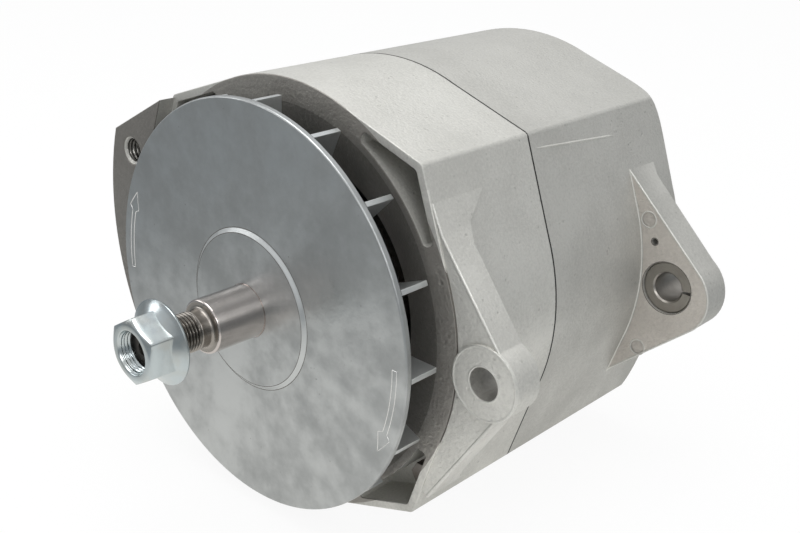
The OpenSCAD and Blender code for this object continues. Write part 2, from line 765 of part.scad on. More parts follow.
module front_bearing_seals() color([0.12, 0.12, 0.12])
    for (y = [front_y + 0.4, front_end_y - 1.6])
        ring(ball_track_r - ball_d * 0.3 + 0.4, ball_track_r + ball_d * 0.42 - fit_gap, y, y + 1.2);

module bearing_retainer_plate() color([0.50, 0.51, 0.53]) difference() {
    ring(ball_track_r + ball_d * 0.35, hub_r - 1, front_end_y, front_end_y + retainer_t);
    for (k = [0 : 2])
        spin(30 + 120 * k) at(retainer_screw_r, 0)
            rod(screw_d / 2 + fit_gap, front_end_y - 1, front_end_y + retainer_t + 1);
}

module retainer_screws() color([0.50, 0.50, 0.52])
    for (k = [0 : 2])
        spin(30 + 120 * k) at(retainer_screw_r, 0) {
            rod(screw_d / 2, front_end_y - 8, front_end_y + retainer_t);
            rod(screw_d * 0.9, front_end_y + retainer_t, front_end_y + retainer_t + 2.2);
        }

// Claws that reach from y_root to y_tip and narrow on the way, joined to the disc at their roots
module claws(y_root, y_tip, turn) {
    root_w = 2 * PI * rotor_r / claw_count * 0.37;
    tip_w = root_w * 0.55;
    y_disc = y_root + sign(y_tip - y_root) * pole_t;
    for (k = [0 : claw_count - 1])
        spin(turn + 360 / claw_count * k) intersection() {
            union() {
                ring(claw_in_r, rotor_r, min(y_root, y_tip), max(y_root, y_tip));
                ring(disc_r - 2, rotor_r, min(y_root, y_disc), max(y_root, y_disc));
            }
            translate([core_r, 0, 0]) rotate([90, 0, 90]) linear_extrude(rotor_r)
                polygon([[y_root, -root_w / 2], [y_tip, -tip_w / 2],
                    [y_tip, tip_w / 2], [y_root, root_w / 2]]);
        }
}

module rotor_pole_front() color([0.38, 0.37, 0.36]) {
    end = rotor_y + rotor_l;
    ring(shaft_core_r + fit_gap, disc_r, rotor_y, rotor_y + pole_t);
    ring(shaft_core_r + fit_gap, core_r, rotor_y, end);
    claws(rotor_y, end - 5, 0);
}

module rotor_pole_rear() color([0.36, 0.35, 0.34]) {
    end = rotor_y + rotor_l;
    ring(support_r + 4, disc_r, end - pole_t, end);
    claws(end, rotor_y + 5, 180 / claw_count);
}

module rotor_pole_ring() color([0.60, 0.60, 0.60])
    ring(claw_in_r - 3, claw_in_r - fit_gap, coil_mid_y - 5.5, coil_mid_y + 5.5);

module field_coil() color([0.60, 0.28, 0.12])
    ring(coil_in_r + fit_gap, coil_r, coil_mid_y - coil_l / 2, coil_mid_y + coil_l / 2);

module field_coil_bobbin() color([0.20, 0.18, 0.16]) {
    y0 = coil_mid_y - coil_l / 2;
    y1 = coil_mid_y + coil_l / 2;
    ring(support_r + fit_gap, coil_in_r, y0 - bobbin_t, y1 + bobbin_t);
    ring(support_r + fit_gap, coil_r + 0.5, y0 - bobbin_t, y0);
    ring(support_r + fit_gap, coil_r + 0.5, y1, y1 + bobbin_t);
}

module coil_support() color([0.42, 0.41, 0.40]) difference() {
    union() {
        ring(support_in_r, support_r, coil_mid_y - coil_l / 2 - bobbin_t - 1, web_y);
        ring(support_in_r, support_screw_r + 6, web_y - support_flange_t, web_y);
    }
    for (a = web_arm_a)
        at(support_screw_r, a) rod(screw_d / 2 + fit_gap, web_y - support_flange_t - 1, web_y + 1);
}

module support_screws() color([0.50, 0.50, 0.52])
    for (a = web_arm_a)
        at(support_screw_r, a)
            screw(screw_d, web_y - support_flange_t, web_y + web_t, screw_d * 1.8, 2.4);

module stator_core() color([0.30, 0.30, 0.31])
    slab(stack_y, stack_y + stack_l) difference() {
        circle(r = stator_r);
        circle(r = stator_in_r);
        for (k = [0 : slot_count - 1]) rotate(360 / slot_count * k) {
            translate([stator_in_r - 1, -1.2]) square([slot_mouth + 2, 2.4]);
            translate([stator_in_r + slot_mouth, -slot_w / 2]) square([slot_depth, slot_w]);
        }
    }

module winding_crown(y0, y1) {
    r0 = stator_in_r + slot_mouth + 0.4;
    r1 = stator_in_r + slot_mouth + slot_depth;
    turned() polygon([[r0, y0 + 3], [r0 + 3, y0], [r1 - 1, y0], [r1 + 2, y0 + 3],
        [r1 + 2, y1 - 3], [r1 - 1, y1], [r0 + 3, y1], [r0, y1 - 3]]);
}

module stator_windings() color([0.55, 0.27, 0.12]) {
    bar_w = slot_w - 0.6;
    winding_crown(stack_y - winding_l, stack_y - 0.4);
    winding_crown(stack_y + stack_l + 0.4, stack_y + stack_l + winding_l);
    slab(stack_y - 2, stack_y + stack_l + 2)
        for (k = [0 : slot_count - 1]) rotate(360 / slot_count * k)
            translate([stator_in_r + slot_mouth + 0.7, -bar_w / 2]) square([slot_depth - 1, bar_w]);
}

module phase_leads() color([0.62, 0.30, 0.14])
    for (a = lead_a) {
        y_bar = neg_y + neg_plate_t + plate_gap / 2;
        at(lead_r, a) rod(1.5, stack_y + stack_l + winding_l, y_bar);
        spin(a) translate([neg_diode_r - 2, y_bar - 0.7, -2])
            cube([lead_r - neg_diode_r + 4.5, 1.4, 4]);
    }

module rear_bearing_outer_race() color([0.60, 0.61, 0.63])
    ring(roller_track_r + roller_d / 2 + track_gap, rear_od / 2, rear_bearing_y, rear_bearing_end);

module rear_bearing_inner_race() color([0.60, 0.61, 0.63])
    ring(rear_bore_d / 2 + fit_gap, roller_track_r - roller_d / 2 - track_gap,
        rear_bearing_y, rear_bearing_end);

module rear_bearing_rollers() color([0.75, 0.76, 0.78])
    for (k = [0 : roller_count - 1])
        at(roller_track_r, 360 / roller_count * k)
            rod(roller_d / 2, rear_bearing_y + 1.5, rear_bearing_y + 1.5 + roller_l);

module rear_bearing_cage() color([0.70, 0.58, 0.35]) difference() {
    ring(roller_track_r - 1.1, roller_track_r + 1.1, rear_bearing_y + 0.4, rear_bearing_end - 0.4);
    for (k = [0 : roller_count - 1])
        at(roller_track_r, 360 / roller_count * k)
            rod(roller_d / 2 + track_gap, rear_bearing_y + 1.5 - track_gap,
                rear_bearing_y + 1.5 + roller_l + track_gap);
}

// Horseshoe plate that carries three diodes at the radius diode_r
module rectifier_plate(y0, t, diode_r) {
    difference() {
        slab(y0, y0 + t) sector(plate_in_r, plate_out_r, -6, 168);
        for (a = lead_a)
            at(diode_r, a) rod(diode_d / 2 + fit_gap, y0 - 1, y0 + t + 1);
        for (a = plate_screw_a)
            at(plate_screw_r, a) rod(screw_d / 2 + fit_gap, y0 - 1, y0 + t + 1);
    }
}

module negative_plate() color([0.66, 0.66, 0.65])
    rectifier_plate(neg_y, neg_plate_t, neg_diode_r);

module positive_plate() color([0.68, 0.68, 0.67])
    rectifier_plate(pos_y, pos_plate_t, pos_diode_r);

module plate_insulators() color([0.75, 0.20, 0.15])
    for (a = plate_screw_a)
        at(plate_screw_r, a)
            ring(screw_d / 2 + fit_gap, screw_d / 2 + 2.5, neg_y + neg_plate_t, pos_y);

module plate_screws() color([0.50, 0.50, 0.52])
    for (a = plate_screw_a)
        at(plate_screw_r, a) {
            rod(screw_d / 2, neg_y - rib_grip, pos_y + pos_plate_t);
            rod(screw_d * 0.8, pos_y + pos_plate_t, pos_y + pos_plate_t + 2);
        }

module diodes() color([0.45, 0.45, 0.46])
    for (a = lead_a) {
        y_bar = neg_y + neg_plate_t + plate_gap / 2;
        at(neg_diode_r, a) {
            rod(diode_d / 2, neg_y, neg_y + neg_plate_t + 1.4);
            rod(0.9, neg_y + neg_plate_t + 1.4, y_bar - 0.7);
        }
        at(pos_diode_r, a) {
            rod(diode_d / 2, pos_y - 1.4, pos_y + pos_plate_t);
            rod(0.9, y_bar + 0.7, pos_y - 1.4);
        }
    }

module regulator() color([0.15, 0.15, 0.16]) difference() {
    slab(neg_y, neg_y + regulator_h)
        translate([-regulator_x, regulator_z[0]])
            square([2 * regulator_x, regulator_z[1] - regulator_z[0]]);
    for (s = [-1, 1])
        translate([s * regulator_screw[0], 0, regulator_screw[1]])
            rod(screw_d / 2 + fit_gap, neg_y - 1, neg_y + regulator_h + 1);
}

module regulator_screws() color([0.50, 0.50, 0.52])
    for (s = [-1, 1])
        translate([s * regulator_screw[0], 0, regulator_screw[1]]) {
            rod(screw_d / 2, neg_y - rib_grip, neg_y + regulator_h);
            rod(screw_d * 0.9, neg_y + regulator_h, neg_y + regulator_h + 2);
        }

module capacitor() color([0.60, 0.60, 0.62])
    at(capacitor_at[0], capacitor_at[1]) rod(capacitor_r, neg_y, neg_y + capacitor_l);

module output_stud() color([0.72, 0.60, 0.36])
    at(output_at[0], output_at[1]) {
        rod(output_shank_d / 2, pos_y + pos_plate_t, output_nut_y);
        rod(output_d / 2, output_nut_y - 1, rear_y + output_l);
    }

module output_insulator() color([0.60, 0.12, 0.10])
    at(output_at[0], output_at[1]) {
        ring(output_shank_d / 2 + fit_gap, output_shank_d / 2 + insulator_t - fit_gap,
            cover_y, rear_y);
        ring(output_shank_d / 2 + fit_gap, output_shank_d / 2 + insulator_t + 3,
            rear_y, washer_y);
    }

module output_nut() color([0.72, 0.60, 0.36])
    at(output_at[0], output_at[1]) difference() {
        union() {
            rod(output_shank_d, washer_y, washer_y + 1.4);
            hex(output_shank_d * 1.5, washer_y + 1.4, output_nut_y);
        }
        rod(output_shank_d / 2 + fit_gap, rear_y + 1, output_nut_y + 1);
    }

module signal_studs() color([0.72, 0.60, 0.36])
    for (p = signal_at)
        at(p[0], p[1]) rod(signal_d / 2, cover_y - 2, rear_y + signal_l);

module signal_insulators() color([0.14, 0.14, 0.15])
    for (p = signal_at)
        at(p[0], p[1]) {
            ring(signal_d / 2 + fit_gap, signal_d / 2 + 3 - fit_gap, cover_y, rear_y);
            ring(signal_d / 2 + fit_gap, signal_d / 2 + 4.5, rear_y, rear_y + 2);
        }

module ground_screw() color([0.50, 0.50, 0.52])
    at(ground_at[0], ground_at[1]) {
        rod(through_d / 2, rear_y - 12, rear_y + 1);
        hex(through_d * 1.6, rear_y, rear_y + 4);
    }

drive_end_frame();
rear_frame();
rear_cover();
cover_screws();
through_bolts();
pivot_bushing();
fan();
fan_collar();
rotor_shaft();
pulley_nut();
front_bearing_outer_race();
front_bearing_inner_race();
front_bearing_balls();
front_bearing_cage();
front_bearing_seals();
bearing_retainer_plate();
retainer_screws();
rotor_pole_front();
rotor_pole_rear();
rotor_pole_ring();
field_coil();
field_coil_bobbin();
coil_support();
support_screws();
stator_core();
stator_windings();
phase_leads();
rear_bearing_outer_race();
rear_bearing_inner_race();
rear_bearing_rollers();
rear_bearing_cage();
negative_plate();
positive_plate();
plate_insulators();
plate_screws();
diodes();
regulator();
regulator_screws();
capacitor();
output_stud();
output_insulator();
output_nut();
signal_studs();
signal_insulators();
ground_screw();
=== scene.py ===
"""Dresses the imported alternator: cast skins, ground and plated steel, threads, windings and small hardware.

The frame is the CAD frame in metres: the shaft axis is Y, the drive end points to -Y and Z is up. Profiles, paths
and zones are written in millimetres of that frame, and new_piece brings them to metres.
"""

import bpy
import numpy as np
from mathutils import Matrix, Vector


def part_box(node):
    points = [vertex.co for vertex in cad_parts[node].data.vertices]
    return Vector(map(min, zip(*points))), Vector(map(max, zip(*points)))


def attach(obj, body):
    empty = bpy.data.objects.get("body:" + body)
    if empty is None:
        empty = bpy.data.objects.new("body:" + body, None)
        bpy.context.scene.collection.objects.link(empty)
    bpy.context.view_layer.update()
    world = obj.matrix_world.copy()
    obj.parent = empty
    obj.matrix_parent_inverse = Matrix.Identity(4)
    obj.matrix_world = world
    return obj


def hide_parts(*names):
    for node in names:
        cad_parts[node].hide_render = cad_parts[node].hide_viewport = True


bl_info = {
    "name": "Alternator finish",
    "version": (1, 0, 0),
    "blender": (4, 5, 0),
    "location": "View3D > Sidebar > Alternator",
    "description": "Finishes the packed alternator and sets its studio stage",
    "category": "Object",
}

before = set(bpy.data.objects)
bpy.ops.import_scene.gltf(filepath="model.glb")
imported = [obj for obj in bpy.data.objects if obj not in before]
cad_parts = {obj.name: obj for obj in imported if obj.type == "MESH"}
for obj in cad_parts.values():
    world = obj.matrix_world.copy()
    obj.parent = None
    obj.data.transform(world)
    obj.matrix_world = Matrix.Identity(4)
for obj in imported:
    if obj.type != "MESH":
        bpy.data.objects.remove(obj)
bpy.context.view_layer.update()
MM = 0.001
TURN = 2 * np.pi

# Places (x, z) and sizes of the solids that their details are set against, in mm
SIDE_R = 91.7
PIVOT = (104.9, -2.2)
ADJUSTING_HOLE = (-94.44, 44.04)
DRILLED_HOLE = (96.9, 17.2)
EJECTORS = ((92.9, 26.3), (93.9, -34.2))
FACE_STEP, BUSHING_STEP, FRONT_LENGTH, BOSS_RISE = 8.0, 1.0, 61.1, 0.6
THREAD_R, SEAT_R, SEAT_STEP = 7.95, 11.1, -22.7
NUT_FLATS, NUT_FLANGE, NUT_BORE, NUT_THREAD = 23.8, 34.0, 8.08, 0.6
COVER_SCREWS_R, SIGNAL_STUDS_R, BUSHING_IN, BUSHING_OUT = 70.0, 50.0, 6.5, 11.7
FORWARD = np.array([0.0, -1.0, 0.0])


def stations():
    """Stations in mm of the adjusting pad, the front face, the rear ear's face and the back of the rear cover."""
    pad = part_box("drive_end_frame")[0].y / MM
    return pad, pad + FACE_STEP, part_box("pivot_bushing")[0].y / MM - BUSHING_STEP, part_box("rear_cover")[1].y / MM


# Surfaces, as grids of points worked out with numpy


def through(points, steps):
    """Points along straight lines through the given ones, each line in its own number of steps."""
    points = np.array(points)
    lines = [np.linspace(*pair, n, endpoint=False) for *pair, n in zip(points, points[1:], steps)]
    return np.concatenate([*lines, points[-1:]])


def grid_faces(rows, cols, closed):
    """Quads of a grid of rows x cols points; with closed, the last column joins the first."""
    steps = cols if closed else cols - 1
    r, c = np.meshgrid(np.arange(rows - 1), np.arange(steps), indexing="ij")
    n = (c + 1) % cols
    return np.stack([r * cols + c, r * cols + n, (r + 1) * cols + n, (r + 1) * cols + c], -1).reshape(-1, 4)


def around(y, r, a):
    """Points round the Y axis at stations y, radii r and angles a."""
    y, r, a = np.broadcast_arrays(y, r, a)
    return np.stack([r * np.cos(a), y, r * np.sin(a)], -1)


def round_grid(y, r, a):
    """Closed grid round the Y axis: the point in row i at angle a lies at station y_i(a) and radius r_i(a)."""
    points = around(y, r, a)
    return points, grid_faces(*points.shape[:2], True)[:, ::-1]


def row_grid(rows, a):
    """Closed grid out of rows (y, r), each a number or an array over the angles a."""
    return round_grid(*(np.stack([np.broadcast_to(row[i], a.shape) for row in rows]) for i in (0, 1)), a)


def add_object(name, data):
    """New object with the data, linked to the scene."""
    thing = bpy.data.objects.new(name, data)
    bpy.context.scene.collection.objects.link(thing)
    return thing


def new_piece(name, parts, body, finish, flat_angle=50.0, replaces=None):
    """One mesh object out of (points in mm, quads) parts, riding on a body, smooth up to flat_angle between faces."""
    points, faces, start = [], [], 0
    for p, f in parts:
        points.append(p.reshape(-1, 3))
        faces.append(f + start)
        start += len(points[-1])
    mesh = bpy.data.meshes.new(name)
    mesh.from_pydata((np.concatenate(points) * MM).tolist(), [], np.concatenate(faces).tolist())
    mesh.update()
    mesh.materials.append(finishes[finish])
    piece = add_object(name, mesh)
    piece.modifiers.new("Weld", "WELD").merge_threshold = 1e-6
    smooth(piece, flat_angle)
    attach(piece, body)
    if replaces:
        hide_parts(replaces)


def turned(profile, cols=96, centre=(0.0, 0.0), ripple=None):
    """Surface of revolution about an axis along Y through centre = (x, z).

    Point (i, a) lies at radius r_i + ripple(y_i, a) and station y_i, a being the angle round the axis. It faces
    away from the axis where the profile runs towards +Y, and towards the axis where it runs back.
    """
    y, r = np.array(profile, float).T[..., None]
    a = angles(cols)
    return placed(round_grid(y, r + ripple(y, a, r) if ripple else r, a), *centre)


def angles(cols):
    """Even angles round a turn."""
    return np.linspace(0, TURN, cols, endpoint=False)


def placed(part, x, z):
    """The same grid moved from the shaft axis to the axis through (x, z)."""
    return part[0] + np.array([x, 0.0, z]), part[1]


def arc(y, r, radius, a0, a1, steps=5):
    """Profile points on a circle round (y, r), from angle a0 to a1 in degrees, 0 towards +Y."""
    a = np.radians(np.linspace(a0, a1, steps))
    return [(y + radius * c, r + radius * s) for c, s in zip(np.cos(a), np.sin(a))]


def thread(y0, y1, pitch, depth, runout=1.0):
    """Ripple of a V thread between y0 and y1: a triangle wave of the station less the turn, faded at both ends
    and left off a centre hole, whose radius is under four depths."""
    ramp = runout * pitch

    def ripple(y, a, r):
        phase = (y / pitch - a / TURN) % 1.0
        wave = np.clip(1.35 * np.abs(2 * phase - 1) - 0.12, 0, 1)
        fade = np.clip((y - y0) / ramp, 0, 1) * np.clip((y1 - y) / ramp, 0, 1)
        return -depth * wave * fade * (r > 4 * depth)

    return ripple


def outline_radius(a, side=SIDE_R, corner=102.0, crease=np.radians(23.7), tip=2.5):
    """Housing outline in mm at angle a: a circle with four corners, each of two flats with a rounded tip.

    With d the angle to the nearest corner, a flat runs from the tip to the circle at d = crease, and the tip is a
    small circle that touches both flats.
    """
    d = np.abs(a % (np.pi / 2) - np.pi / 4)
    ex, ez = side * np.cos(crease) - corner, side * np.sin(crease)
    along = corner * np.tan(d) / (ez - ex * np.tan(d))
    flat = np.hypot(corner + along * ex, along * ez)
    middle = corner - tip / np.sin(np.arctan2(ez, -ex))
    rounded = middle * np.cos(d) + np.sqrt(np.maximum(tip ** 2 - (middle * np.sin(d)) ** 2, 0))
    return np.where(d >= crease, side, np.where(d < np.radians(0.62), rounded, flat))


def on_outline(a, y, lift=0.0):
    """Points and outward normals of the housing's side at angles a and stations y, in mm."""

    def at(angle):
        return around(y, outline_radius(angle), angle)

    along = at(a + 1e-4) - at(a - 1e-4)
    normal = np.stack([along[..., 2], np.zeros_like(a), -along[..., 0]], -1)
    normal /= np.linalg.norm(normal, axis=-1)[..., None]
    return at(a) + lift * normal, normal


def swept(path, normals, across):
    """Open profile across = [(side, height)] carried along a path on a surface with the given normals."""
    normals = np.broadcast_to(normals, path.shape)
    along = np.gradient(path, axis=0)
    side = np.cross(along / np.linalg.norm(along, axis=1)[:, None], normals)
    across = np.broadcast_to(across, (len(path), *np.shape(across)[-2:]))
    points = path[:, None] + side[:, None] * across[..., :1] + normals[:, None] * across[..., 1:]
    return points, grid_faces(len(path), across.shape[1], False)


# Modifiers that soften CAD solids


def geometry_group(name):
    """Node group with one geometry in and one out."""
    g = bpy.data.node_groups.new(name, "GeometryNodeTree")
    for way in ("INPUT", "OUTPUT"):
        g.interface.new_socket("Geometry", in_out=way, socket_type="NodeSocketGeometry")
    return g, Nodes(g), g.nodes.new("NodeGroupInput").outputs[0], g.nodes.new("NodeGroupOutput").inputs[0]


def smooth_group(angle):
    """Geometry nodes that shade faces smooth and keep edges sharper than the angle."""
    name = f"smooth_{angle:g}"
    if name in bpy.data.node_groups:
        return bpy.data.node_groups[name]
    g, n, start, end = geometry_group(name)
    faces = n.add("GeometryNodeSetShadeSmooth", Geometry=start)
    edges = n.add("GeometryNodeSetShadeSmooth", {"domain": "EDGE"}, Geometry=faces.outputs[0],
                  Selection=n.sharp(angle))
    edges.inputs["Shade Smooth"].default_value = False
    g.links.new(edges.outputs[0], end)
    return g


def smooth(piece, angle):
    piece.modifiers.new("Smooth", "NODES").node_group = smooth_group(angle)


def zone_group(node, zones, angle):
    """Geometry nodes that give each edge sharper than the angle the largest weight of the zones that hold it.

    A zone is (x, z, r0, r1, y0, y1, weight) in mm: a tube between two radii round an axis along Y and two stations.
    """
    g, n, start, end = geometry_group("zones_" + node)
    x, y, z = n.split(n.add("GeometryNodeInputPosition").outputs[0])
    total = 0.0
    for *tube, weight in zones:
        total = n.math("MAXIMUM", total, n.mul(n.within(x, y, z, tube), weight))
    store = n.add("GeometryNodeStoreNamedAttribute", {"data_type": "FLOAT", "domain": "EDGE"},
                  Geometry=start, Name="bevel_weight_edge", Value=n.mul(n.sharp(angle), total))
    g.links.new(store.outputs[0], end)
    return g


def soften(node, zones=(), width=0.001, angle=32.0):
    """Welds a CAD node with modifiers, rounds its edges by the width times their zone's weight, shades it smooth."""
    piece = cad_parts[node]
    piece.modifiers.new("Weld", "WELD").merge_threshold = 2e-6
    if zones:
        piece.modifiers.new("Zones", "NODES").node_group = zone_group(node, zones, angle)
        bevel = piece.modifiers.new("Bevel", "BEVEL")
        bevel.width, bevel.segments, bevel.limit_method = width, 3, "WEIGHT"
        bevel.use_clamp_overlap, bevel.miter_outer = False, "MITER_ARC"
    smooth(piece, angle)
    if zones:
        piece.modifiers.new("Normals", "WEIGHTED_NORMAL").keep_sharp = True


# Node groups and materials


class Nodes:
    """Short hand for placing and linking the nodes of a tree."""

    def __init__(self, tree):
        self.tree = tree

    def add(self, kind, settings=None, **links):
        node = self.tree.nodes.new(kind)
        for key, value in (settings or {}).items():
            setattr(node, key, value)
        for key, value in links.items():
            self.put(node, key.replace("_", " "), value)
        return node

    def put(self, node, key, value):
        socket = node.inputs[int(key)] if key.isdigit() else node.inputs[key]
        if isinstance(value, bpy.types.NodeSocket):
            self.tree.links.new(value, socket)
        else:
            socket.default_value = value

    def math(self, operation, a, b=0.0):
        return self.add("ShaderNodeMath", {"operation": operation}, **{"0": a, "1": b}).outputs[0]

    def mul(self, a, b):
        return self.math("MULTIPLY", a, b)

    def plus(self, a, b):
        return self.math("ADD", a, b)

    def blend(self, *terms):
        """Sum of values times their weights."""
        total = self.mul(*terms[0])
        for term in terms[1:]:
            total = self.plus(total, self.mul(*term))
        return total

    def remap(self, value, low, high, to_low=0.0, to_high=1.0):
        node = self.add("ShaderNodeMapRange", {"interpolation_type": "SMOOTHSTEP"}, Value=value, From_Min=low,
                        From_Max=high, To_Min=to_low, To_Max=to_high)
        return node.outputs["Result"]

    def distance(self, x, z, cx=0.0, cz=0.0):
        dx, dz = self.plus(x, -cx), self.plus(z, -cz)
        return self.math("SQRT", self.plus(self.mul(dx, dx), self.mul(dz, dz)))

    def inside(self, value, low, high):
        return self.mul(self.math("GREATER_THAN", value, low), self.math("LESS_THAN", value, high))

    def within(self, x, y, z, tube):
        """1 inside a tube (x, z, r0, r1, y0, y1) in mm, else 0."""
        cx, cz, r0, r1, y0, y1 = (v * MM for v in tube)
        return self.mul(self.inside(self.distance(x, z, cx, cz), r0, r1), self.inside(y, y0, y1))

    def split(self, vector):
        return self.add("ShaderNodeSeparateXYZ", Vector=vector).outputs

    def sharp(self, angle):
        """1 on edges whose faces stand more than the angle, in degrees, off one plane."""
        between = self.add("GeometryNodeInputMeshEdgeAngle").outputs["Unsigned Angle"]
        return self.math("GREATER_THAN", between, float(np.radians(angle)))

    def noise(self, vector, scale, detail=3.0, rough=0.55):
        node = self.add("ShaderNodeTexNoise", Vector=vector, Scale=scale, Detail=detail, Roughness=rough)
        return node.outputs["Fac"]

    def pits(self, at, scale, low, high, patches, patch_low, patch_high):
        """Small round pits of a cell texture, only where the value patches is high."""
        cells = self.add("ShaderNodeTexVoronoi", {"feature": "F1"}, Vector=at, Scale=scale).outputs["Distance"]
        return self.mul(self.remap(cells, low, high, 1.0, 0.0), self.remap(patches, patch_low, patch_high))

    def mix(self, fac, a, b):
        return self.add("ShaderNodeMix", {"data_type": "RGBA"}, **{"0": fac, "6": a, "7": b}).outputs[2]

    def group(self, group, **values):
        """Outputs of a node group that is given the values."""
        return self.add("ShaderNodeGroup", {"node_tree": group}, **values).outputs

    def tones(self, fac, color, dark, light):
        """The colour times dark where fac is 0, and times light where it is 1."""
        return self.mix(fac, rgb(color, dark), rgb(color, light))


def socket_group(name, inputs, outputs, build):
    """Shader node group with named inputs and outputs, made once; build(nodes, inputs, outputs) fills it."""
    if name in bpy.data.node_groups:
        return bpy.data.node_groups[name]
    g = bpy.data.node_groups.new(name, "ShaderNodeTree")
    for way, sockets in (("INPUT", inputs), ("OUTPUT", outputs)):
        for label, kind in sockets:
            g.interface.new_socket(label, in_out=way, socket_type=kind)
    start, end = g.nodes.new("NodeGroupInput"), g.nodes.new("NodeGroupOutput")
    n = Nodes(g)
    for label, value in build(n, start.outputs).items():
        n.put(end, label, value)
    return g


FLOAT, COLOR, VECTOR = "NodeSocketFloat", "NodeSocketColor", "NodeSocketVector"


def cast_grain_group():
    """Cast skin: fine blasted grain, soft swells and dark specks, all of object coordinates."""

    def build(n, i):
        at = i["Vector"]
        fine = n.noise(at, i["Grain"], 3.0, 0.62)
        broad = n.noise(at, 38.0, 4.0, 0.5)
        cloud = n.noise(at, 11.0, 3.0, 0.5)
        pit = n.pits(at, n.mul(i["Grain"], 0.42), 0.05, 0.30, n.noise(at, 160.0, 1.0), 0.5, 0.72)
        tone = n.remap(n.blend((fine, 0.30), (broad, 0.35), (cloud, 0.35)), 0.36, 0.64)
        shade = n.mix(tone, i["Dark"], i["Light"])
        shade = n.mix(n.mul(pit, i["Specks"]), shade, (0.15, 0.15, 0.14, 1))
        height = n.blend((fine, 1.0), (pit, -0.7), (broad, 0.9))
        roughness = n.remap(tone, 0.0, 1.0, i["Rough High"], i["Rough Low"])
        return {"Color": shade, "Height": height, "Roughness": roughness}

    return socket_group(
        "cast_grain",
        [("Vector", VECTOR), ("Grain", FLOAT), ("Dark", COLOR), ("Light", COLOR), ("Specks", FLOAT),
         ("Rough Low", FLOAT), ("Rough High", FLOAT)],
        [("Color", COLOR), ("Height", FLOAT), ("Roughness", FLOAT)], build)


def turned_lines_group():
    """Lathe or grinding marks round an axis along Y through Centre: noise of the station and the radius."""

    def build(n, i):
        at = n.add("ShaderNodeVectorMath", {"operation": "SUBTRACT"}, **{"0": i["Vector"], "1": i["Centre"]})
        x, y, z = n.split(at.outputs[0])
        turn = n.mul(n.math("ARCTAN2", z, x), 0.0012)
        spun = n.add("ShaderNodeCombineXYZ", X=n.distance(x, z), Y=y, Z=turn).outputs[0]
        return {"Lines": n.noise(spun, i["Fineness"], 2.0, 0.7),
                "Broad": n.noise(spun, n.mul(i["Fineness"], 0.12), 2.0), "Haze": n.noise(i["Vector"], 60.0, 3.0)}

    return socket_group(
        "turned_lines",
        [("Vector", VECTOR), ("Centre", VECTOR), ("Fineness", FLOAT)],
        [("Lines", FLOAT), ("Broad", FLOAT), ("Haze", FLOAT)], build)


def start_material(name):
    """Nodes of a new material, which carry it and its shader, and the object coordinates."""
    m = bpy.data.materials.new(name)
    m.use_nodes = True
    n = Nodes(m.node_tree)
    n.material, n.shader = m, m.node_tree.nodes["Principled BSDF"]
    return n, n.add("ShaderNodeTexCoord").outputs["Object"]


def dress(n, color, rough, metal, height, depth):
    """Feeds colour, roughness, metal and relief to a material's shader."""
    relief = n.add("ShaderNodeBump", Height=height, Distance=depth).outputs[0]
    for key, value in (("Base Color", color), ("Roughness", rough), ("Metallic", metal), ("Normal", relief)):
        n.put(n.shader, key, value)
    return n.material


def rgb(c, k=1.0):
    """The colour times k, with alpha."""
    return (c[0] * k, c[1] * k, c[2] * k, 1.0)


def cast_material(name, color, grain=900.0, rough=(0.46, 0.60), specks=0.35, metal=0.6, zones=()):
    """Blasted cast aluminium with coarser zones (color, x, z, r0, r1, y0, y1), tubes in mm round an axis along Y."""
    n, at = start_material(name)
    shade, height, roughness = n.group(
        cast_grain_group(), Vector=at, Grain=grain, Dark=rgb(color, 0.88), Light=rgb(color, 1.12), Specks=specks,
        Rough_Low=rough[0], Rough_High=rough[1])
    x, y, z = n.split(at)
    for tone, *tube in zones:
        near = n.within(x, y, z, tube)
        coarse = n.group(cast_grain_group(), Vector=at, Grain=grain * 0.62, Dark=rgb(tone, 0.88),
                         Light=rgb(tone, 1.12), Specks=0.25, Rough_Low=0.5, Rough_High=0.7)
        shade = n.mix(near, shade, coarse["Color"])
        height = n.plus(height, n.mul(n.mul(coarse["Height"], 1.2), near))
    return dress(n, shade, roughness, metal, height, 0.00022)


def fan_material(color):
    """Smooth die-cast aluminium: cloudy flow in colour and gloss and tiny pores, with the blades behind the disc
    paler as painted light and a lighter ring on the hub seat's chamfer as a painted highlight.
    """
    n, at = start_material("fan_alloy")
    flow = n.noise(at, 34.0, 5.0, 0.62)
    cloud = n.noise(at, 12.0, 3.0, 0.55)
    x, y, z = n.split(at)
    radius = n.math("MAXIMUM", n.distance(x, z), 0.001)
    fanned = n.add("ShaderNodeCombineXYZ", X=n.math("DIVIDE", x, radius), Y=n.mul(radius, 4.0),
                   Z=n.math("DIVIDE", z, radius)).outputs[0]
    streak = n.mix(n.remap(radius, 0.02, 0.06), flow, n.noise(fanned, 4.0, 4.0, 0.55))
    blotch = n.noise(at, 85.0, 3.0, 0.6)
    tone = n.remap(n.blend((flow, 0.36), (cloud, 0.26), (blotch, 0.22), (streak, 0.16)), 0.39, 0.61)
    pore = n.pits(at, 330.0, 0.04, 0.16, n.noise(at, 90.0, 2.0), 0.56, 0.70)
    shade = n.tones(tone, color, 0.80, 1.15)
    shade = n.mix(n.mul(pore, 0.55), shade, rgb(color, 0.35))
    # Painted light: the blades behind the disc, which lie in the fan's shade, are made paler.
    shade = n.mix(n.mul(n.math("GREATER_THAN", y, 0.0045), 0.6), shade, rgb(color, 1.75))
    height = n.blend((flow, 0.6), (n.noise(at, 420.0, 2.0), 0.10), (pore, -0.12))
    # Painted highlight: a lighter ring on the hub seat's chamfer.
    edge = n.mul(n.inside(radius, 0.0324, 0.0341), n.math("LESS_THAN", y, 0.0014))
    shade = n.mix(edge, shade, rgb(color, 1.3))
    return dress(n, shade, n.remap(tone, 0.0, 1.0, 0.46, 0.29), 0.9, height, 0.0006)


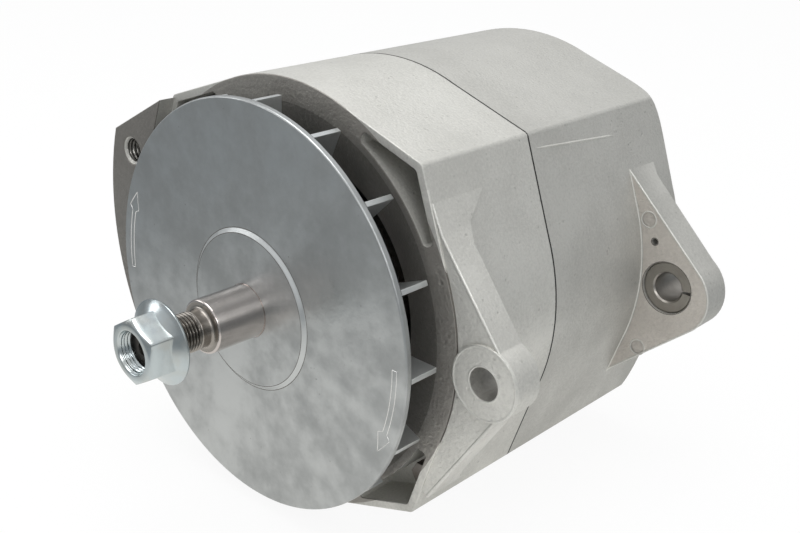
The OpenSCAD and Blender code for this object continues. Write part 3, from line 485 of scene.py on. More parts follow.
def steel_material(name, color, rough, fineness=2500.0, centre=(0.0, 0.0), depth=0.00003, metal=1.0, spread=0.10,
                   stain=None, groove=None):
    """Ground or turned steel: fine lines round its axis, haze, and an optional stain colour in patches.

    Centre is the axis' (x, z) in mm. With groove = (low, high), it darkens from the radius high down to low round
    that axis, as painted shade in a thread's roots.
    """
    n, at = start_material(name)
    axis = (centre[0] * MM, 0.0, centre[1] * MM)
    lines, broad, haze = n.group(turned_lines_group(), Vector=at, Centre=axis, Fineness=fineness)
    shade = n.tones(lines, color, 1 - spread, 1 + spread)
    if stain:
        shade = n.mix(n.remap(haze, 0.45, 0.75, 0.0, 0.7), shade, rgb(stain))
    if groove:
        x, _y, z = n.split(at)
        # Painted shade: darker towards the roots of the thread.
        painted_root_shade = n.remap(n.distance(x, z, axis[0], axis[2]), *groove, 0.85, 0.0)
        shade = n.mix(painted_root_shade, shade, rgb(color, 0.12))
    height = n.plus(lines, n.mul(broad, 1.5))
    roughness = n.remap(haze, 0.3, 0.7, rough * 0.75, rough * 1.35)
    return dress(n, shade, roughness, metal, height, depth)


def zinc_material(name, color, tint, rough):
    """Bright zinc plate: a bluish white with faint warm bloom and a slight orange peel."""
    n, at = start_material(name)
    bloom = n.remap(n.noise(at, 120.0, 3.0), 0.35, 0.7)
    roughness = n.remap(n.noise(at, 300.0, 2.0), 0.3, 0.7, rough * 0.85, rough * 1.2)
    return dress(n, n.mix(bloom, rgb(color), rgb(tint)), roughness, 1.0, n.noise(at, 260.0, 2.0), 0.00002)


def plastic_material(name, color, rough=0.45):
    """Moulded plastic or rubber with a fine grain and slightly uneven gloss."""
    n, at = start_material(name)
    fine, broad = n.noise(at, 1400.0, 2.0), n.noise(at, 50.0, 3.0)
    roughness = n.remap(broad, 0.3, 0.7, rough * 0.85, rough * 1.15)
    return dress(n, n.tones(broad, color, 0.85, 1.2), roughness, 0.0, fine, 0.00008)


def lamination_material(name, color):
    """Stacked sheet steel under varnish: a thin dark line every half millimetre along the shaft."""
    n, at = start_material(name)
    line = n.remap(n.math("PINGPONG", n.split(at)[1], 0.00025), 0.0, 0.00009)
    haze = n.noise(at, 70.0, 3.0)
    shade = n.mix(line, rgb(color, 0.35), n.tones(haze, color, 0.8, 1.25))
    return dress(n, shade, n.remap(haze, 0.3, 0.7, 0.35, 0.5), 0.7, line, 0.0001)


def copper_material(name, color):
    """Varnished copper wire with darker varnish pools."""
    n, at = start_material(name)
    pool = n.remap(n.noise(at, 150.0, 3.0), 0.4, 0.65)
    return dress(n, n.tones(pool, color, 1.15, 0.55), n.remap(pool, 0.0, 1.0, 0.28, 0.42), 0.6,
                 n.noise(at, 900.0, 2.0), 0.00008)


# Sizes and colours that a user may change


def color_property(name, description, value):
    return bpy.props.FloatVectorProperty(name=name, description=description, subtype="COLOR", size=3,
                                         min=0.0, max=1.0, default=value)


def length_property(name, description, value, low, high):
    return bpy.props.FloatProperty(name=name, description=description, subtype="DISTANCE", unit="LENGTH",
                                   precision=5, min=low, max=high, default=value)


class AlternatorColors(bpy.types.PropertyGroup):
    """Colours of the alternator's metals."""

    frame_cast: color_property("Housing", "Blasted cast aluminium of both frames", (0.52, 0.515, 0.485))
    front_cast: color_property("Front face", "Coarse sand-cast front face", (0.33, 0.315, 0.29))
    fan: color_property("Fan", "Smooth die-cast fan", (0.46, 0.475, 0.475))
    ground_steel: color_property("Pulley seat", "Ground steel of the shaft", (0.60, 0.555, 0.53))
    zinc: color_property("Nut", "Bright zinc plate", (0.57, 0.63, 0.65))


class AlternatorSizes(bpy.types.PropertyGroup):
    """Sizes of the details that the solids leave out."""

    cast_edge: length_property("Cast edge", "Rounding of the cast edges", 0.001, 0.0, 0.0012)
    fan_edge: length_property("Fan edge", "Rounding of the fan's edges", 0.00025, 0.0, 0.0004)
    shaft_pitch: length_property("Shaft thread pitch", "One turn of the 18 per inch thread", 0.0014111, 0.001, 0.002)
    shaft_thread: length_property("Shaft thread depth", "Depth of the shaft's thread", 0.00085, 0.0, 0.0015)
    ear_pitch: length_property("Adjusting pitch", "One turn of the 13 per inch thread", 0.0019538, 0.0015, 0.003)


def sizes():
    return bpy.context.scene.alternator_sizes


finishes = {}


# Operators


# Nodes that wear each finish
WEARERS = {
    "frame": "drive_end_frame", "rear": "rear_frame", "cover": "rear_cover", "fan": "fan",
    "ground": "rotor_shaft fan_collar", "zinc": "pulley_nut", "bolts": "through_bolts",
    "screws": "cover_screws retainer_screws support_screws plate_screws regulator_screws ground_screw",
    "races": "front_bearing_outer_race front_bearing_inner_race rear_bearing_outer_race "
             "rear_bearing_inner_race bearing_retainer_plate rotor_pole_ring",
    "balls": "front_bearing_balls rear_bearing_rollers", "bushing": "pivot_bushing",
    "brass": "front_bearing_cage rear_bearing_cage", "rubber": "front_bearing_seals",
    "iron": "rotor_pole_front rotor_pole_rear coil_support", "bobbin": "field_coil_bobbin",
    "copper": "field_coil stator_windings phase_leads", "sheets": "stator_core",
    "sink": "negative_plate positive_plate", "red": "plate_insulators output_insulator",
    "black": "signal_insulators regulator", "can": "diodes capacitor",
    "stud": "output_stud output_nut signal_studs",
}


def make_finishes():
    """Makes every material and keeps it in finishes under its short name."""
    c = bpy.context.scene.alternator_colors
    pad, face, ear, _rear = stations()
    # Painted light: the front ear's face, which faces forward and gets little light, is made lighter than the frame.
    front_zones = [(rgb(c.frame_cast, 1.30), *PIVOT, 0, 72, face - 0.8, face + 1.0),
                   (c.front_cast, 0, 0, 80, SIDE_R, face - 0.4, face + 0.4),
                   (rgb(c.front_cast, 0.70), 0, 0, 80, 140, pad - 0.4, pad + 0.4),
                   # Painted shadow: the dish behind the fan is darker where the fan's shadow falls.
                   (rgb(c.front_cast, 0.66), 0, 0, 0, 84.2, face + 0.4, 60),
                   # Painted shade: the pivot bore is darker, for the shade inside the hole.
                   ((0.36, 0.35, 0.325), *PIVOT, 0, 6.65, face - 0.2, 35)]
    ear_zones = [((0.62, 0.585, 0.54), 0, 0, 92.5, 140, ear - 0.02, ear + 0.02)]
    ear_zones += [((0.58, 0.55, 0.51), *spot, 0, 3.55, ear, ear + 0.6) for spot in EJECTORS]
    finishes.update(
        frame=cast_material("cast_front_frame", rgb(c.frame_cast, 1.17), zones=front_zones),
        rear=cast_material("cast_rear_frame", c.frame_cast, specks=0.3, zones=ear_zones),
        # Painted highlight: a lighter copy of the frame's cast for the parting line and the ear's lip.
        lip=cast_material("painted_lip_highlight", rgb(c.frame_cast, 1.35), rough=(0.36, 0.46), specks=0.1),
        # Painted highlight: a lighter copy of the frame's cast for the rolled ear edges and the rings on the boss and
        # ejector marks.
        rolled=cast_material("painted_edge_highlight", rgb(c.frame_cast, 1.25), rough=(0.40, 0.5), specks=0.15),
        # Painted shade: a near-black cast tone for the face step, the gap round the bushing and the lines round the
        # fan's hub seat.
        step=cast_material("painted_shade_dark", (0.13, 0.122, 0.11), rough=(0.6, 0.75), metal=0.2),
        # Painted shadow: a near-black finish for the strip along the seam between the frames.
        dirt=plastic_material("seam_dirt", (0.012, 0.011, 0.010), 0.8),
        # The tapped thread here and the shaft thread below carry painted shade in their roots.
        tapped=steel_material("tapped_thread", (0.50, 0.49, 0.46), 0.28, centre=ADJUSTING_HOLE,
                              groove=(0.00525, 0.00500), metal=0.9),
        cover=cast_material("cast_rear_cover", c.frame_cast, grain=700.0),
        fan=fan_material(c.fan),
        # Painted highlight: the raised arrows are near white against the fan's grey.
        arrow=cast_material("painted_arrow_highlight", (0.80, 0.80, 0.78), rough=(0.30, 0.38), specks=0.0, metal=0.8),
        ground=steel_material("ground_seat", c.ground_steel, 0.13, 4000.0),
        thread=steel_material("thread_steel", (0.36, 0.335, 0.305), 0.28, depth=0.00002,
                              groove=(0.00725, 0.00785)),
        zinc=zinc_material("zinc_plate", c.zinc, (0.56, 0.59, 0.58), 0.2),
        screws=zinc_material("zinc_screws", (0.52, 0.53, 0.52), (0.55, 0.50, 0.38), 0.3),
        bolts=steel_material("bolt_steel", (0.26, 0.25, 0.24), 0.36, stain=(0.16, 0.12, 0.09)),
        bushing=steel_material("bushing_steel", (0.38, 0.36, 0.33), 0.34, 2600.0, PIVOT,
                               spread=0.2, stain=(0.27, 0.245, 0.22)),
        races=steel_material("race_steel", (0.50, 0.51, 0.52), 0.18, 4000.0),
        balls=zinc_material("ball_steel", (0.62, 0.63, 0.64), (0.56, 0.57, 0.58), 0.08),
        brass=steel_material("cage_brass", (0.52, 0.38, 0.16), 0.3),
        rubber=plastic_material("seal_rubber", (0.018, 0.018, 0.018), 0.6),
        iron=cast_material("pole_iron", (0.10, 0.095, 0.09), 600.0, metal=0.8),
        copper=copper_material("copper_wire", (0.42, 0.17, 0.06)),
        bobbin=plastic_material("bobbin_nylon", (0.035, 0.03, 0.026)),
        sheets=lamination_material("lamination", (0.16, 0.16, 0.165)),
        sink=steel_material("heat_sink", (0.44, 0.44, 0.43), 0.38, 1200.0),
        red=plastic_material("insulator_red", (0.33, 0.025, 0.018), 0.4),
        black=plastic_material("insulator_black", (0.02, 0.02, 0.022), 0.42),
        can=steel_material("diode_can", (0.42, 0.42, 0.43), 0.3, 2000.0),
        stud=zinc_material("yellow_plate", (0.50, 0.40, 0.20), (0.46, 0.42, 0.30), 0.28),
    )


class MakeFinishes(bpy.types.Operator):
    """Builds the materials and lays them on the solids."""

    bl_idname = "alternator.finishes"
    bl_label = "Materials"

    def execute(self, context):
        make_finishes()
        for finish, nodes in WEARERS.items():
            for node in nodes.split():
                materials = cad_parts[node].data.materials
                materials.clear()
                materials.append(finishes[finish])
        return {"FINISHED"}


class SoftenSolids(bpy.types.Operator):
    """Rounds the edges of the solids that show."""

    bl_idname = "alternator.soften"
    bl_label = "Soft edges"

    def execute(self, context):
        s = sizes()
        pad, face, _ear, rear = stations()
        everywhere = (0, 0, 0, 1000, -1000, 1000, 1)
        soften("drive_end_frame", [(0, 0, 87.9, 106, face - 0.1, face + 0.1, 0.45),
                                   (0, 0, 95, 140, pad - 1, face - 1, 0.4),
                                   (*PIVOT, 13.5, 15, face - 1, face - 0.1, 0.5)], s.cast_edge)
        soften("rear_frame", [(0, 0, 72, 90, rear - 3, rear + 1, 0.3)], s.cast_edge)
        for node, width in (("rear_cover", 0.0004), ("fan", s.fan_edge), ("through_bolts", 0.0003)):
            soften(node, [everywhere], width)
        for node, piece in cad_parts.items():
            if not piece.modifiers:
                soften(node)
        return {"FINISHED"}


class MakeShaft(bpy.types.Operator):
    """Shaft with its ground seat and cut thread, standing for the plain solid."""

    bl_idname = "alternator.shaft"
    bl_label = "Shaft"

    def execute(self, context):
        s = sizes()
        nose, tail = (v.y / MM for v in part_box("rotor_shaft"))
        step, neck = SEAT_STEP, SEAT_STEP - 4.7
        threaded = [(nose + 6.0, 0.0), (nose + 6.0, 0.6), (nose + 0.1, 2.6), (nose, 2.9), (nose, THREAD_R - 1.3)]
        threaded += arc(nose + 0.9, THREAD_R - 0.9, 0.9, 190, 110, 6)
        threaded += [(y, THREAD_R) for y in np.arange(nose + 1.2, neck, s.shaft_pitch / MM / 12)]
        threaded += [(neck + 0.1, THREAD_R - 0.1), (neck + 0.5, THREAD_R - 0.3), (step - 1.3, THREAD_R - 0.3)]
        threaded += arc(step - 1.3, THREAD_R + 1.0, 1.3, -75, 0, 6)
        threaded += [(step, SEAT_R - 0.9), (step + 0.2, SEAT_R - 0.95), (step + 0.2, 0.0)]
        seat = [(step + 0.5, 0.0), (step + 0.5, SEAT_R - 0.95), (step, SEAT_R - 0.9)]
        seat += arc(step + 0.8, SEAT_R - 0.8, 0.8, 172, 98, 5)
        seat += [(y, SEAT_R) for y in np.linspace(step + 1.0, -0.02, 12)] + [(-0.02, 0.0)]
        rest = [(0.0, 0.0), (0.0, 11.3), (34.0, 11.3), (34.0, 12.5), (51.0, 12.5), (51.0, 17.0), (62.0, 17.0),
                (62.0, 15.0), (118.0, 15.0), (118.0, 12.0), (149.0, 12.0), (149.0, 8.5), (164.2, 8.5), (165.0, 7.7),
                (tail, 0.0)]
        ripple = thread(nose + 0.6, neck + 0.2, s.shaft_pitch / MM, s.shaft_thread / MM)
        for name, profile, finish, node in (("shaft_thread", threaded, "thread", None),
                                            ("shaft_seat", seat, "ground", "rotor_shaft"),
                                            ("shaft_core", rest, "ground", None)):
            part = turned(profile, 144, ripple=ripple)
            new_piece(name, [part], "rotor", finish, 32.0, node)
        return {"FINISHED"}


class MakeNut(bpy.types.Operator):
    """Flanged hexagon nut with chamfered corners and the start of its thread."""

    bl_idname = "alternator.nut"
    bl_label = "Pulley nut"

    def execute(self, context):
        front, back = (v.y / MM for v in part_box("pulley_nut"))
        part = hex_nut(front, back, NUT_FLATS, NUT_FLANGE, NUT_BORE, sizes().shaft_pitch / MM, NUT_THREAD)
        new_piece("flanged_nut", [part], "nut", "zinc", 50.0, "pulley_nut")
        return {"FINISHED"}


def hex_radius(a, flats, soft=0.012):
    """Distance from the centre to a hexagon's edge in direction a, its corners rounded: flats / 2 over the largest
    cosine of the angle to a flat's normal, with a smooth maximum."""
    cosines = np.stack([np.cos(a - np.radians(60 * k)) for k in range(6)])
    return flats / 2 / (soft * np.log(np.exp(cosines / soft).sum(0)))


def hex_nut(front, back, flats, flange, bore, pitch, depth, cols=192):
    """Grid of the angle and the place along one outline: front countersink, washer face, chamfer cone, hexagon side,
    flange cone, rounded rim, back face and bore. The chamfer and cone heights follow the hexagon's radius."""
    a = angles(cols)
    hexagon = hex_radius(a, flats, 0.008)
    washer, rim = flats / 2 - 0.7, flange / 2
    threads = thread(front + 1.5, back - 4.2, pitch, depth, 0.7)
    rows = [(y, bore + threads(y, a, bore)) for y in np.arange(back - 0.8, front + 1.2, -pitch / 9)]
    rows += [(front + 1.1, bore + 0.15), *arc(front + 0.5, bore + 1.05, 0.5, 270, 180, 4), (front, bore + 2.0),
             (front, washer - 0.5)]
    for k in np.linspace(0, 1, 7):
        r = washer + (hexagon - washer) * k
        rows.append((front + 0.08 + 0.42 * (r - washer) + 0.15 * k ** 2, r - 0.12 * k ** 3))
    side = front + 0.08 + 0.42 * (hexagon - washer) + 0.15
    cone = back - 2.3 - (rim - 1.2 - hexagon) * 0.62
    rows += [(side + (cone - side) * k, hexagon) for k in np.linspace(0.12, 0.94, 6)]
    for k in np.linspace(0, 1, 8):
        r = hexagon + (rim - 1.2 - hexagon) * k
        rows.append((cone + 0.25 + (back - 2.3 - cone) * k - 0.25 * (1 - k) ** 3, r + 0.35 * (1 - k) ** 2 * k))
    rows += [*arc(back - 1.1, rim - 1.1, 1.1, 110, 20, 6), (back, rim - 0.9), (back, bore + 1.2),
             (back - 0.8, bore + 0.2), (back - 0.8, bore)]
    return row_grid(rows, a)


def hex_head(base, top, flats, bore, cols=96):
    """Hexagon head or nut between two stations, its far corners chamfered: rows run over the base, up the side,
    down the cone to the washer face and into the bore or the middle. The cone's height follows its radius."""
    a = angles(cols)
    hexagon = hex_radius(a, flats)
    washer = flats / 2 - 0.25
    rows = [(base, bore), (base, hexagon - 0.15), (base + 0.15, hexagon)]
    for k in (0.0, 0.33, 0.66, 1.0):
        r = hexagon + (washer - hexagon) * k
        rows.append((top - 0.5 * (r - washer) - 0.12 * (1 - k) ** 2, r))
    rows.append((top, washer - 0.5))
    rows += [(top, bore + 0.7), (top - 0.6, bore + 0.05), (base, bore)] if bore else [(top, 0.0)]
    return row_grid(rows, a)


def recessed_screw(end, seat, shank, head, height, cols=96):
    """Domed screw seen from +Y: shank, rim, dome and a six-lobed recess whose radius is a cosine of the angle."""
    a = angles(cols)
    lobes = 1.45 + 0.24 * np.cos(6 * a)
    rows = [(end, 0.0), (end, shank - 0.4), (end + 0.4, shank), (seat, shank), (seat, head - 0.1),
            (seat + 0.15, head)]
    rows += [(seat + 0.5 * height * (1 + np.sin(t)), head - 1.2 + 1.2 * np.cos(t))
             for t in np.radians((0, 25, 50, 75, 90))]
    rows += [(seat + height, 2.15), (seat + height - 0.05, lobes + 0.12), (seat + height - 0.2, lobes),
             (seat + height - 1.3, lobes - 0.05), (seat + height - 1.6, 0.0)]
    return row_grid(rows, a)


def threaded_stud(start, end, radius, pitch, depth, y0, y1):
    """Stud with a V thread between y0 and y1 and a rounded far end, as a turned profile with a ripple."""
    profile = [(start, 0.0), (start, radius)]
    profile += [(y, radius) for y in np.arange(y0 - pitch, end - 0.8, pitch / 10)]
    profile += [(end - 0.7, radius - 0.1), (end - 0.15, radius - 0.75), (end, radius - 1.1), (end, 0.0)]
    return turned(profile, 72, ripple=thread(y0, y1, pitch, depth))


def circle(radius, degrees):
    """Spots (x, z) on a circle round the shaft."""
    return [(radius * np.cos(t), radius * np.sin(t)) for t in np.radians(degrees)]


def reach(node):
    """Middle (x, z) and both end stations of a node in mm."""
    lo, hi = (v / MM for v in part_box(node))
    return ((lo.x + hi.x) / 2, (lo.z + hi.z) / 2), lo.y, hi.y


def hardware(name, parts, spots, finish, node):
    """One piece of equal parts at every spot, standing for a node."""
    parts = [placed(part, *spot) for spot in spots for part in parts]
    new_piece(name, parts, "housing", finish, 40.0, node)


class MakeHardware(bpy.types.Operator):
    """Cover screws, ground screw, studs and the output nut at the rear."""

    bl_idname = "alternator.hardware"
    bl_label = "Rear hardware"

    def execute(self, context):
        rear = stations()[3]
        screw = recessed_screw(rear - 11.0, rear, 2.0, 3.8, 2.6)
        spots = circle(COVER_SCREWS_R, 60.0 * np.arange(6))
        hardware("cover_screw_heads", [screw], spots, "screws", "cover_screws")
        middle, start, end = reach("ground_screw")
        parts = [hex_head(rear, end, 9.6, 0.0), threaded_stud(start, rear + 1.0, 3.0, 1.0, 0.0, rear - 9.0, rear)]
        hardware("ground_screw_head", parts, [middle], "bolts", "ground_screw")
        _middle, base, top = reach("output_nut")
        middle, start, end = reach("output_stud")
        parts = [threaded_stud(start, end, 4.0, 1.25, 0.62, top + 0.5, end - 0.2)]
        hardware("output_stud_thread", parts, [middle], "stud", "output_stud")
        face = base + 1.4
        washer = turned([(base, 4.02), (base, 8.2), (base + 0.3, 8.5), (face - 0.3, 8.5), (face, 8.2), (face, 4.02),
                         (base, 4.02)])
        hardware("output_nut_hex", [washer, hex_head(face, top, 12.9, 4.05)], [middle], "stud",
                 "output_nut")
        _middle, start, end = reach("signal_studs")
        spots = circle(SIGNAL_STUDS_R, (140.0, 160.0))
        parts = [threaded_stud(start, end, 2.4, 0.8, 0.4, rear + 2.2, end - 0.2)]
        hardware("signal_stud_threads", parts, spots, "stud", "signal_studs")
        return {"FINISHED"}


def split_ring(inner, outer, y0, y1, slit, chamfer, cols=120):
    """Split bushing: a closed chamfered outline carried round the axis from one side of the slit to the other.

    At radius r the slit takes the angle asin(slit / 2r) on either side of +X, and a fan of quads shuts each end.
    """
    loop = np.array([(y0, inner + chamfer), (y0, outer - chamfer), (y0 + chamfer, outer), (y1 - chamfer, outer),
                     (y1, outer - chamfer), (y1, inner + chamfer), (y1 - chamfer, inner), (y0 + chamfer, inner),
                     (y0, inner + chamfer)])
    y, r = loop.T
    gap = np.arcsin(slit / 2 / r)
    a = gap[:, None] + (TURN - 2 * gap)[:, None] * np.linspace(0, 1, cols)
    points = around(y[:, None], r[:, None], a)
    faces = grid_faces(len(y), cols, False)[:, ::-1]
    first = np.arange(8) * cols
    ends = np.array([(0, 1, 6, 7), (1, 2, 5, 6), (2, 3, 4, 5)])
    near, far = first[ends][:, ::-1], (first + cols - 1)[ends]
    return points, np.concatenate([faces, near, far])


def face_ring(y, radius, width, height, centre=(0.0, 0.0), steps=7, cols=96):
    """Low ring on a face that looks to -Y: a parabola of the given half width and height, turned."""
    half = np.linspace(-1, 1, steps)
    return turned([(y - height * (1 - k * k), radius + width * k) for k in half], cols, centre)


def ear_edge(name, centre, radius, top, bottom, y, roll):
    """Rolled cast edge round an ear's face: straight through the top points, round the nose on tangents and
    straight to the bottom, as the outline is. Its section is most of a circle with radius roll."""
    c = np.array(centre)
    ends = []
    for point, sign in ((top[-1], -1), (bottom, 1)):
        d = np.array(point) - c
        ends.append(np.arctan2(d[1], d[0]) + sign * np.arccos(radius / np.hypot(*d)))
    a = np.linspace(*ends, 40)
    nose = c + (radius - 0.05) * np.stack([np.cos(a), np.sin(a)], -1)
    before, after = through([*top, nose[0]], [30] * len(top)), through([nose[-1], bottom], [29])
    flat = np.concatenate([before[:-1], nose, after[1:]])
    along = np.gradient(flat, axis=0)
    along /= np.linalg.norm(along, axis=1)[:, None]
    normals = np.stack([-along[:, 1], np.full(len(flat), -1.0), along[:, 0]], -1) / np.sqrt(2)
    path = np.insert(flat, 1, y, axis=1)
    t = np.radians(np.linspace(-95, 95, 9))
    across = np.stack([roll * np.sin(t), roll * np.cos(t) - roll + 0.06], -1)
    # Painted highlight: the edge wears the lighter rolled finish.
    lay(name, [swept(path, normals, across)], "rolled")


def lay(name, parts, finish, angle=50.0):
    """Lays parts on the front or the rear frame as one piece."""
    new_piece(name, parts, "housing", finish, angle)


class MakeCastDetails(bpy.types.Operator):
    """Seam and face step with painted shade, rolled edges and rings lighter as painted highlights, tapped thread
    darker in its roots as painted shade, bushing with painted shade round it, and parting line and lip lighter as
    painted highlights, on the two frames.
    """

    bl_idname = "alternator.details"
    bl_label = "Cast details"

    def execute(self, context):
        pad, face, ear, _rear = stations()
        joint = face + FRONT_LENGTH
        # Painted shadow: a near-black strip laid along the seam between the two frames, for the shade in its groove.
        path, normals = on_outline(np.linspace(0, TURN, 721), joint + 0.25, 0.03)
        lay("seam_dirt", [swept(path, normals, [(-0.42, -0.35), (-0.40, 0.0), (0.40, 0.0), (0.42, -0.35)])], "dirt")
        # Painted shade: a dark strip on the step between the face ring and the ear's face.
        path = around(face + 0.7, SIDE_R, np.radians(np.linspace(-29, 28, 90)))
        lay("painted_face_step_shade", [swept(path, FORWARD, [(0.05, 0.66), (0.07, 0.03), (0.22, 0.02)])], "step")
        ear_edge("front_ear_edge", PIVOT, 12.4, [(76.9, 58.6), (82.3, 47.5)], (79.2, -62.0), face + 0.7, 0.8)
        ear_edge("rear_ear_edge", (107.0, -4.6), 18.0, [(78.0, 49.0)], (79.0, -51.0), ear, 0.5)
        pitch = sizes().ear_pitch / MM
        profile = [(y, 5.33) for y in np.arange(pad + 23.4, pad + 1.6, -pitch / 14)]
        cut = thread(pad + 1.7, pad + 23.2, -pitch, 0.42, -0.7)
        lay("tapped_thread", [turned(profile, 96, ADJUSTING_HOLE, cut)], "tapped", 40.0)
        ends = (v.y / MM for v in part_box("pivot_bushing"))
        bushing = placed(split_ring(BUSHING_IN, BUSHING_OUT, *ends, 1.3, 0.7), *PIVOT)
        new_piece("split_bushing", [bushing], "housing", "bushing", 30.0, "pivot_bushing")
        # Painted shade: dark rings in the gap round the bushing and on the rim of the drilled hole.
        gap = turned([(ear + 0.9, BUSHING_OUT + 0.04), (ear - 0.03, BUSHING_OUT + 0.06),
                      (ear - 0.03, BUSHING_OUT + 0.4)], 96, PIVOT)
        rim = turned([(ear + 0.3, 1.38), (ear - 0.02, 1.42), (ear - 0.02, 1.85)], 48, DRILLED_HOLE)
        lay("painted_gap_shade", [gap, rim], "step", 30.0)
        # The rings on the boss and the ejector marks wear the lighter rolled finish as a painted highlight.
        boss = face - BOSS_RISE
        rings = [face_ring(boss, 6.9, 0.42, 0.22, PIVOT), face_ring(boss, 14.25, 0.5, 0.16, PIVOT)]
        lay("boss_rings", rings, "rolled")
        lay("ejector_rings", [face_ring(ear, 3.55, 0.34, 0.16, spot) for spot in EJECTORS], "rolled")
        half = np.linspace(-1, 1, 7)
        bump = np.stack([half, 1 - half ** 2], -1)
        t = np.linspace(0, 1, 60)
        # The parting line and the lip below wear the lighter lip finish as a painted highlight.
        path, normals = on_outline(np.radians(41.6 - 2.5 * t), joint + 3.7 + 54.0 * t, -0.02)
        size = 0.4 * np.minimum(1, 12 * t * (1 - t))[:, None, None]
        lay("parting_line", [swept(path, normals, bump[None] * size * [1.0, 0.8])], "lip")
        path, normals = on_outline(np.radians(np.linspace(-33, 29, 90)), ear, -0.1)
        lay("ear_lip", [swept(path, normals, bump * [0.32, 0.5])], "lip")
        return {"FINISHED"}


class MakeArrows(bpy.types.Operator):
    """Two raised arrows on the fan that show which way it turns, near white as a painted highlight, and dark lines of
    painted shade round its hub seat.
    """

    bl_idname = "alternator.arrows"
    bl_label = "Fan marks"

    def execute(self, context):
        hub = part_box("fan")[0].y / MM
        face = hub + 1.3
        r, a = through([(79.0, 183.0), (79.0, 163.2), (77.0, 162.0), (80.2, 156.2), (83.2, 162.0), (81.2, 163.2),
                        (81.2, 183.0), (79.0, 183.0)], (24, 4, 10, 10, 4, 24, 4)).T
        half = np.linspace(-1, 1, 5)
        across = np.stack([0.20 * half, 0.22 * (1 - half ** 2) - 0.02], -1)
        # Painted highlight: the arrows wear a near-white finish.
        arrows = [swept(around(face, r, np.radians(a + turn)), FORWARD, across) for turn in (0.0, -182.0)]
        new_piece("turn_arrows", arrows, "rotor", "arrow")
        # Painted shade: two dark lines where the hub seat steps up from the fan's face.
        lines = [face_ring(y, radius, width, 0.04, steps=5, cols=120)
                 for y, radius, width in ((face, 34.2, 0.17), (hub, 32.25, 0.13))]
        new_piece("painted_hub_shade_lines", lines, "rotor", "step")
        return {"FINISHED"}


def floor_material():
    """Floor that the camera sees white, and the metals see light near the part and grey further off."""
    n, at = start_material("floor_pale")
    for key, value in (("Base Color", (0.86, 0.86, 0.86, 1)), ("Roughness", 0.9), ("Specular IOR Level", 0.1)):
        n.put(n.shader, key, value)
    x, y, _z = n.split(at)
    seen = n.add("ShaderNodeLightPath")
    glossy = n.math("MAXIMUM", seen.outputs["Is Glossy Ray"], seen.outputs["Is Transmission Ray"])
    far = n.remap(n.distance(x, y, 0.05), 0.10, 0.46)
    mirrored = n.mix(far, (0.88, 0.87, 0.84, 1), (0.21, 0.235, 0.25, 1))
    white = n.add("ShaderNodeEmission", Color=n.mix(glossy, (1, 1, 1, 1), mirrored), Strength=1.0)
    share = n.math("MAXIMUM", n.mul(seen.outputs["Is Camera Ray"], 0.92), n.mul(glossy, 0.9))
    mixed = n.add("ShaderNodeMixShader", **{"0": share, "1": n.shader.outputs[0], "2": white.outputs[0]})
    n.put(n.tree.nodes["Material Output"], "Surface", mixed.outputs[0])
    return n.material


def studio_world(scene):
    """Soft light from above, seen as white by the camera."""
    world = bpy.data.worlds.new("studio")
    world.use_nodes = True
    scene.world = world
    n = Nodes(world.node_tree)
    soft = n.tree.nodes["Background"]
    height = n.split(n.add("ShaderNodeTexCoord").outputs["Generated"])[2]
    n.put(soft, "Color", n.mix(n.remap(height, 0.05, 0.6), (0.40, 0.41, 0.42, 1), (0.96, 0.97, 0.98, 1)))
    n.put(soft, "Strength", 0.75)
    white = n.add("ShaderNodeBackground", Color=(1, 1, 1, 1), Strength=1.0)
    seen = n.add("ShaderNodeLightPath")
    mixed = n.add("ShaderNodeMixShader", **{"0": seen.outputs["Is Camera Ray"], "1": soft.outputs[0],
                                            "2": white.outputs[0]})
    n.put(n.tree.nodes["World Output"], "Surface", mixed.outputs[0])
    scene.view_settings.view_transform = "Standard"


def add_lamp(name, place, target, size, power):
    """Round area lamp at a place, turned to a target."""
    light = bpy.data.lights.new(name, "AREA")
    light.shape, light.size, light.energy = "DISK", size, power
    lamp = add_object(name, light)
    lamp.location = place
    aim = Vector(target) - Vector(place)
    lamp.rotation_mode = "QUATERNION"
    lamp.rotation_quaternion = aim.to_track_quat("-Z", "Y")


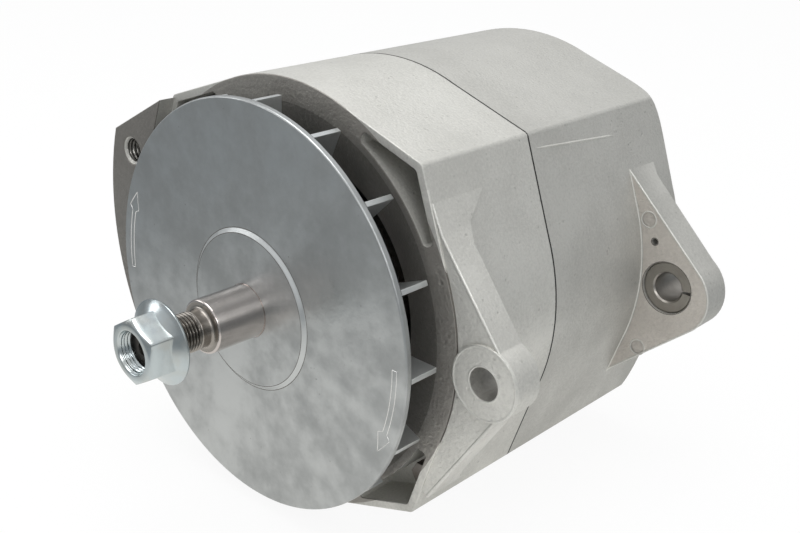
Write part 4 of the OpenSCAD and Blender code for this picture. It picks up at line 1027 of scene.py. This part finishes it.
class MakeStage(bpy.types.Operator):
    """Pale floor, soft studio light and the camera at the photograph's angle."""

    bl_idname = "alternator.stage"
    bl_label = "Stage"

    def execute(self, context):
        scene = context.scene
        azimuth, elevation, roll = np.radians((42.54, 21.8, 1.18))
        right = np.array([np.cos(azimuth), np.sin(azimuth), 0.0])
        back = np.array([np.sin(azimuth), -np.cos(azimuth), np.tan(elevation)]) * np.cos(elevation)
        up = np.cross(back, right)
        cr, sr = np.cos(roll), np.sin(roll)
        axes = np.array([cr * right + sr * up, -sr * right + cr * up, back])
        place = -axes.T @ np.array([-0.06149, -0.01766, -0.44949])
        lens = bpy.data.cameras.new("camera")
        lens.sensor_width, lens.lens, lens.clip_start, lens.clip_end = 36.0, 1119.33 / 800 * 36.0, 0.02, 20.0
        camera = add_object("camera", lens)
        camera.matrix_world = Matrix.Translation(place.tolist()) @ Matrix(axes.T.tolist()).to_4x4()
        scene.camera = camera

        floor_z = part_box("drive_end_frame")[0].z - 0.0004
        mesh = bpy.data.meshes.new("floor")
        corners = [(x, y, floor_z) for x, y in ((-4.0, -4.0), (4.0, -4.0), (4.0, 4.0), (-4.0, 4.0))]
        mesh.from_pydata(corners, [], [(0, 1, 2, 3)])
        add_object("floor", mesh)
        mesh.materials.append(floor_material())
        studio_world(scene)
        add_lamp("overhead", (-0.15, 0.0, 1.6), (0.0, 0.06, 0.0), 1.4, 15.0)
        add_lamp("right", (1.7, -0.8, 1.2), (0.0, 0.08, 0.0), 1.0, 10.5)
        add_lamp("left", (-1.6, -1.0, 0.8), (0.0, 0.0, 0.0), 1.0, 4.7)
        return {"FINISHED"}

class AlternatorPanel(bpy.types.Panel):
    """Buttons and values in the 3D view's sidebar."""

    bl_idname = "VIEW3D_PT_alternator"
    bl_label = "Alternator"
    bl_space_type = "VIEW_3D"
    bl_region_type = "UI"
    bl_category = "Alternator"

    def draw(self, context):
        for values in (context.scene.alternator_colors, context.scene.alternator_sizes):
            box = self.layout.box()
            for key in values.bl_rna.properties.keys():
                if key not in ("rna_type", "name"):
                    box.prop(values, key)
        for step in STEPS:
            self.layout.operator(step.bl_idname)


STEPS = (MakeFinishes, SoftenSolids, MakeShaft, MakeNut, MakeHardware, MakeCastDetails, MakeArrows, MakeStage)
CLASSES = (AlternatorColors, AlternatorSizes, *STEPS, AlternatorPanel)


def register():
    for c in CLASSES:
        bpy.utils.register_class(c)
    bpy.types.Scene.alternator_colors = bpy.props.PointerProperty(type=AlternatorColors)
    bpy.types.Scene.alternator_sizes = bpy.props.PointerProperty(type=AlternatorSizes)


def unregister():
    del bpy.types.Scene.alternator_sizes
    del bpy.types.Scene.alternator_colors
    for c in reversed(CLASSES):
        bpy.utils.unregister_class(c)


def main():
    register()
    for step in STEPS:
        group, name = step.bl_idname.split(".")
        getattr(getattr(bpy.ops, group), name)()


if __name__ == "__main__":
    main()
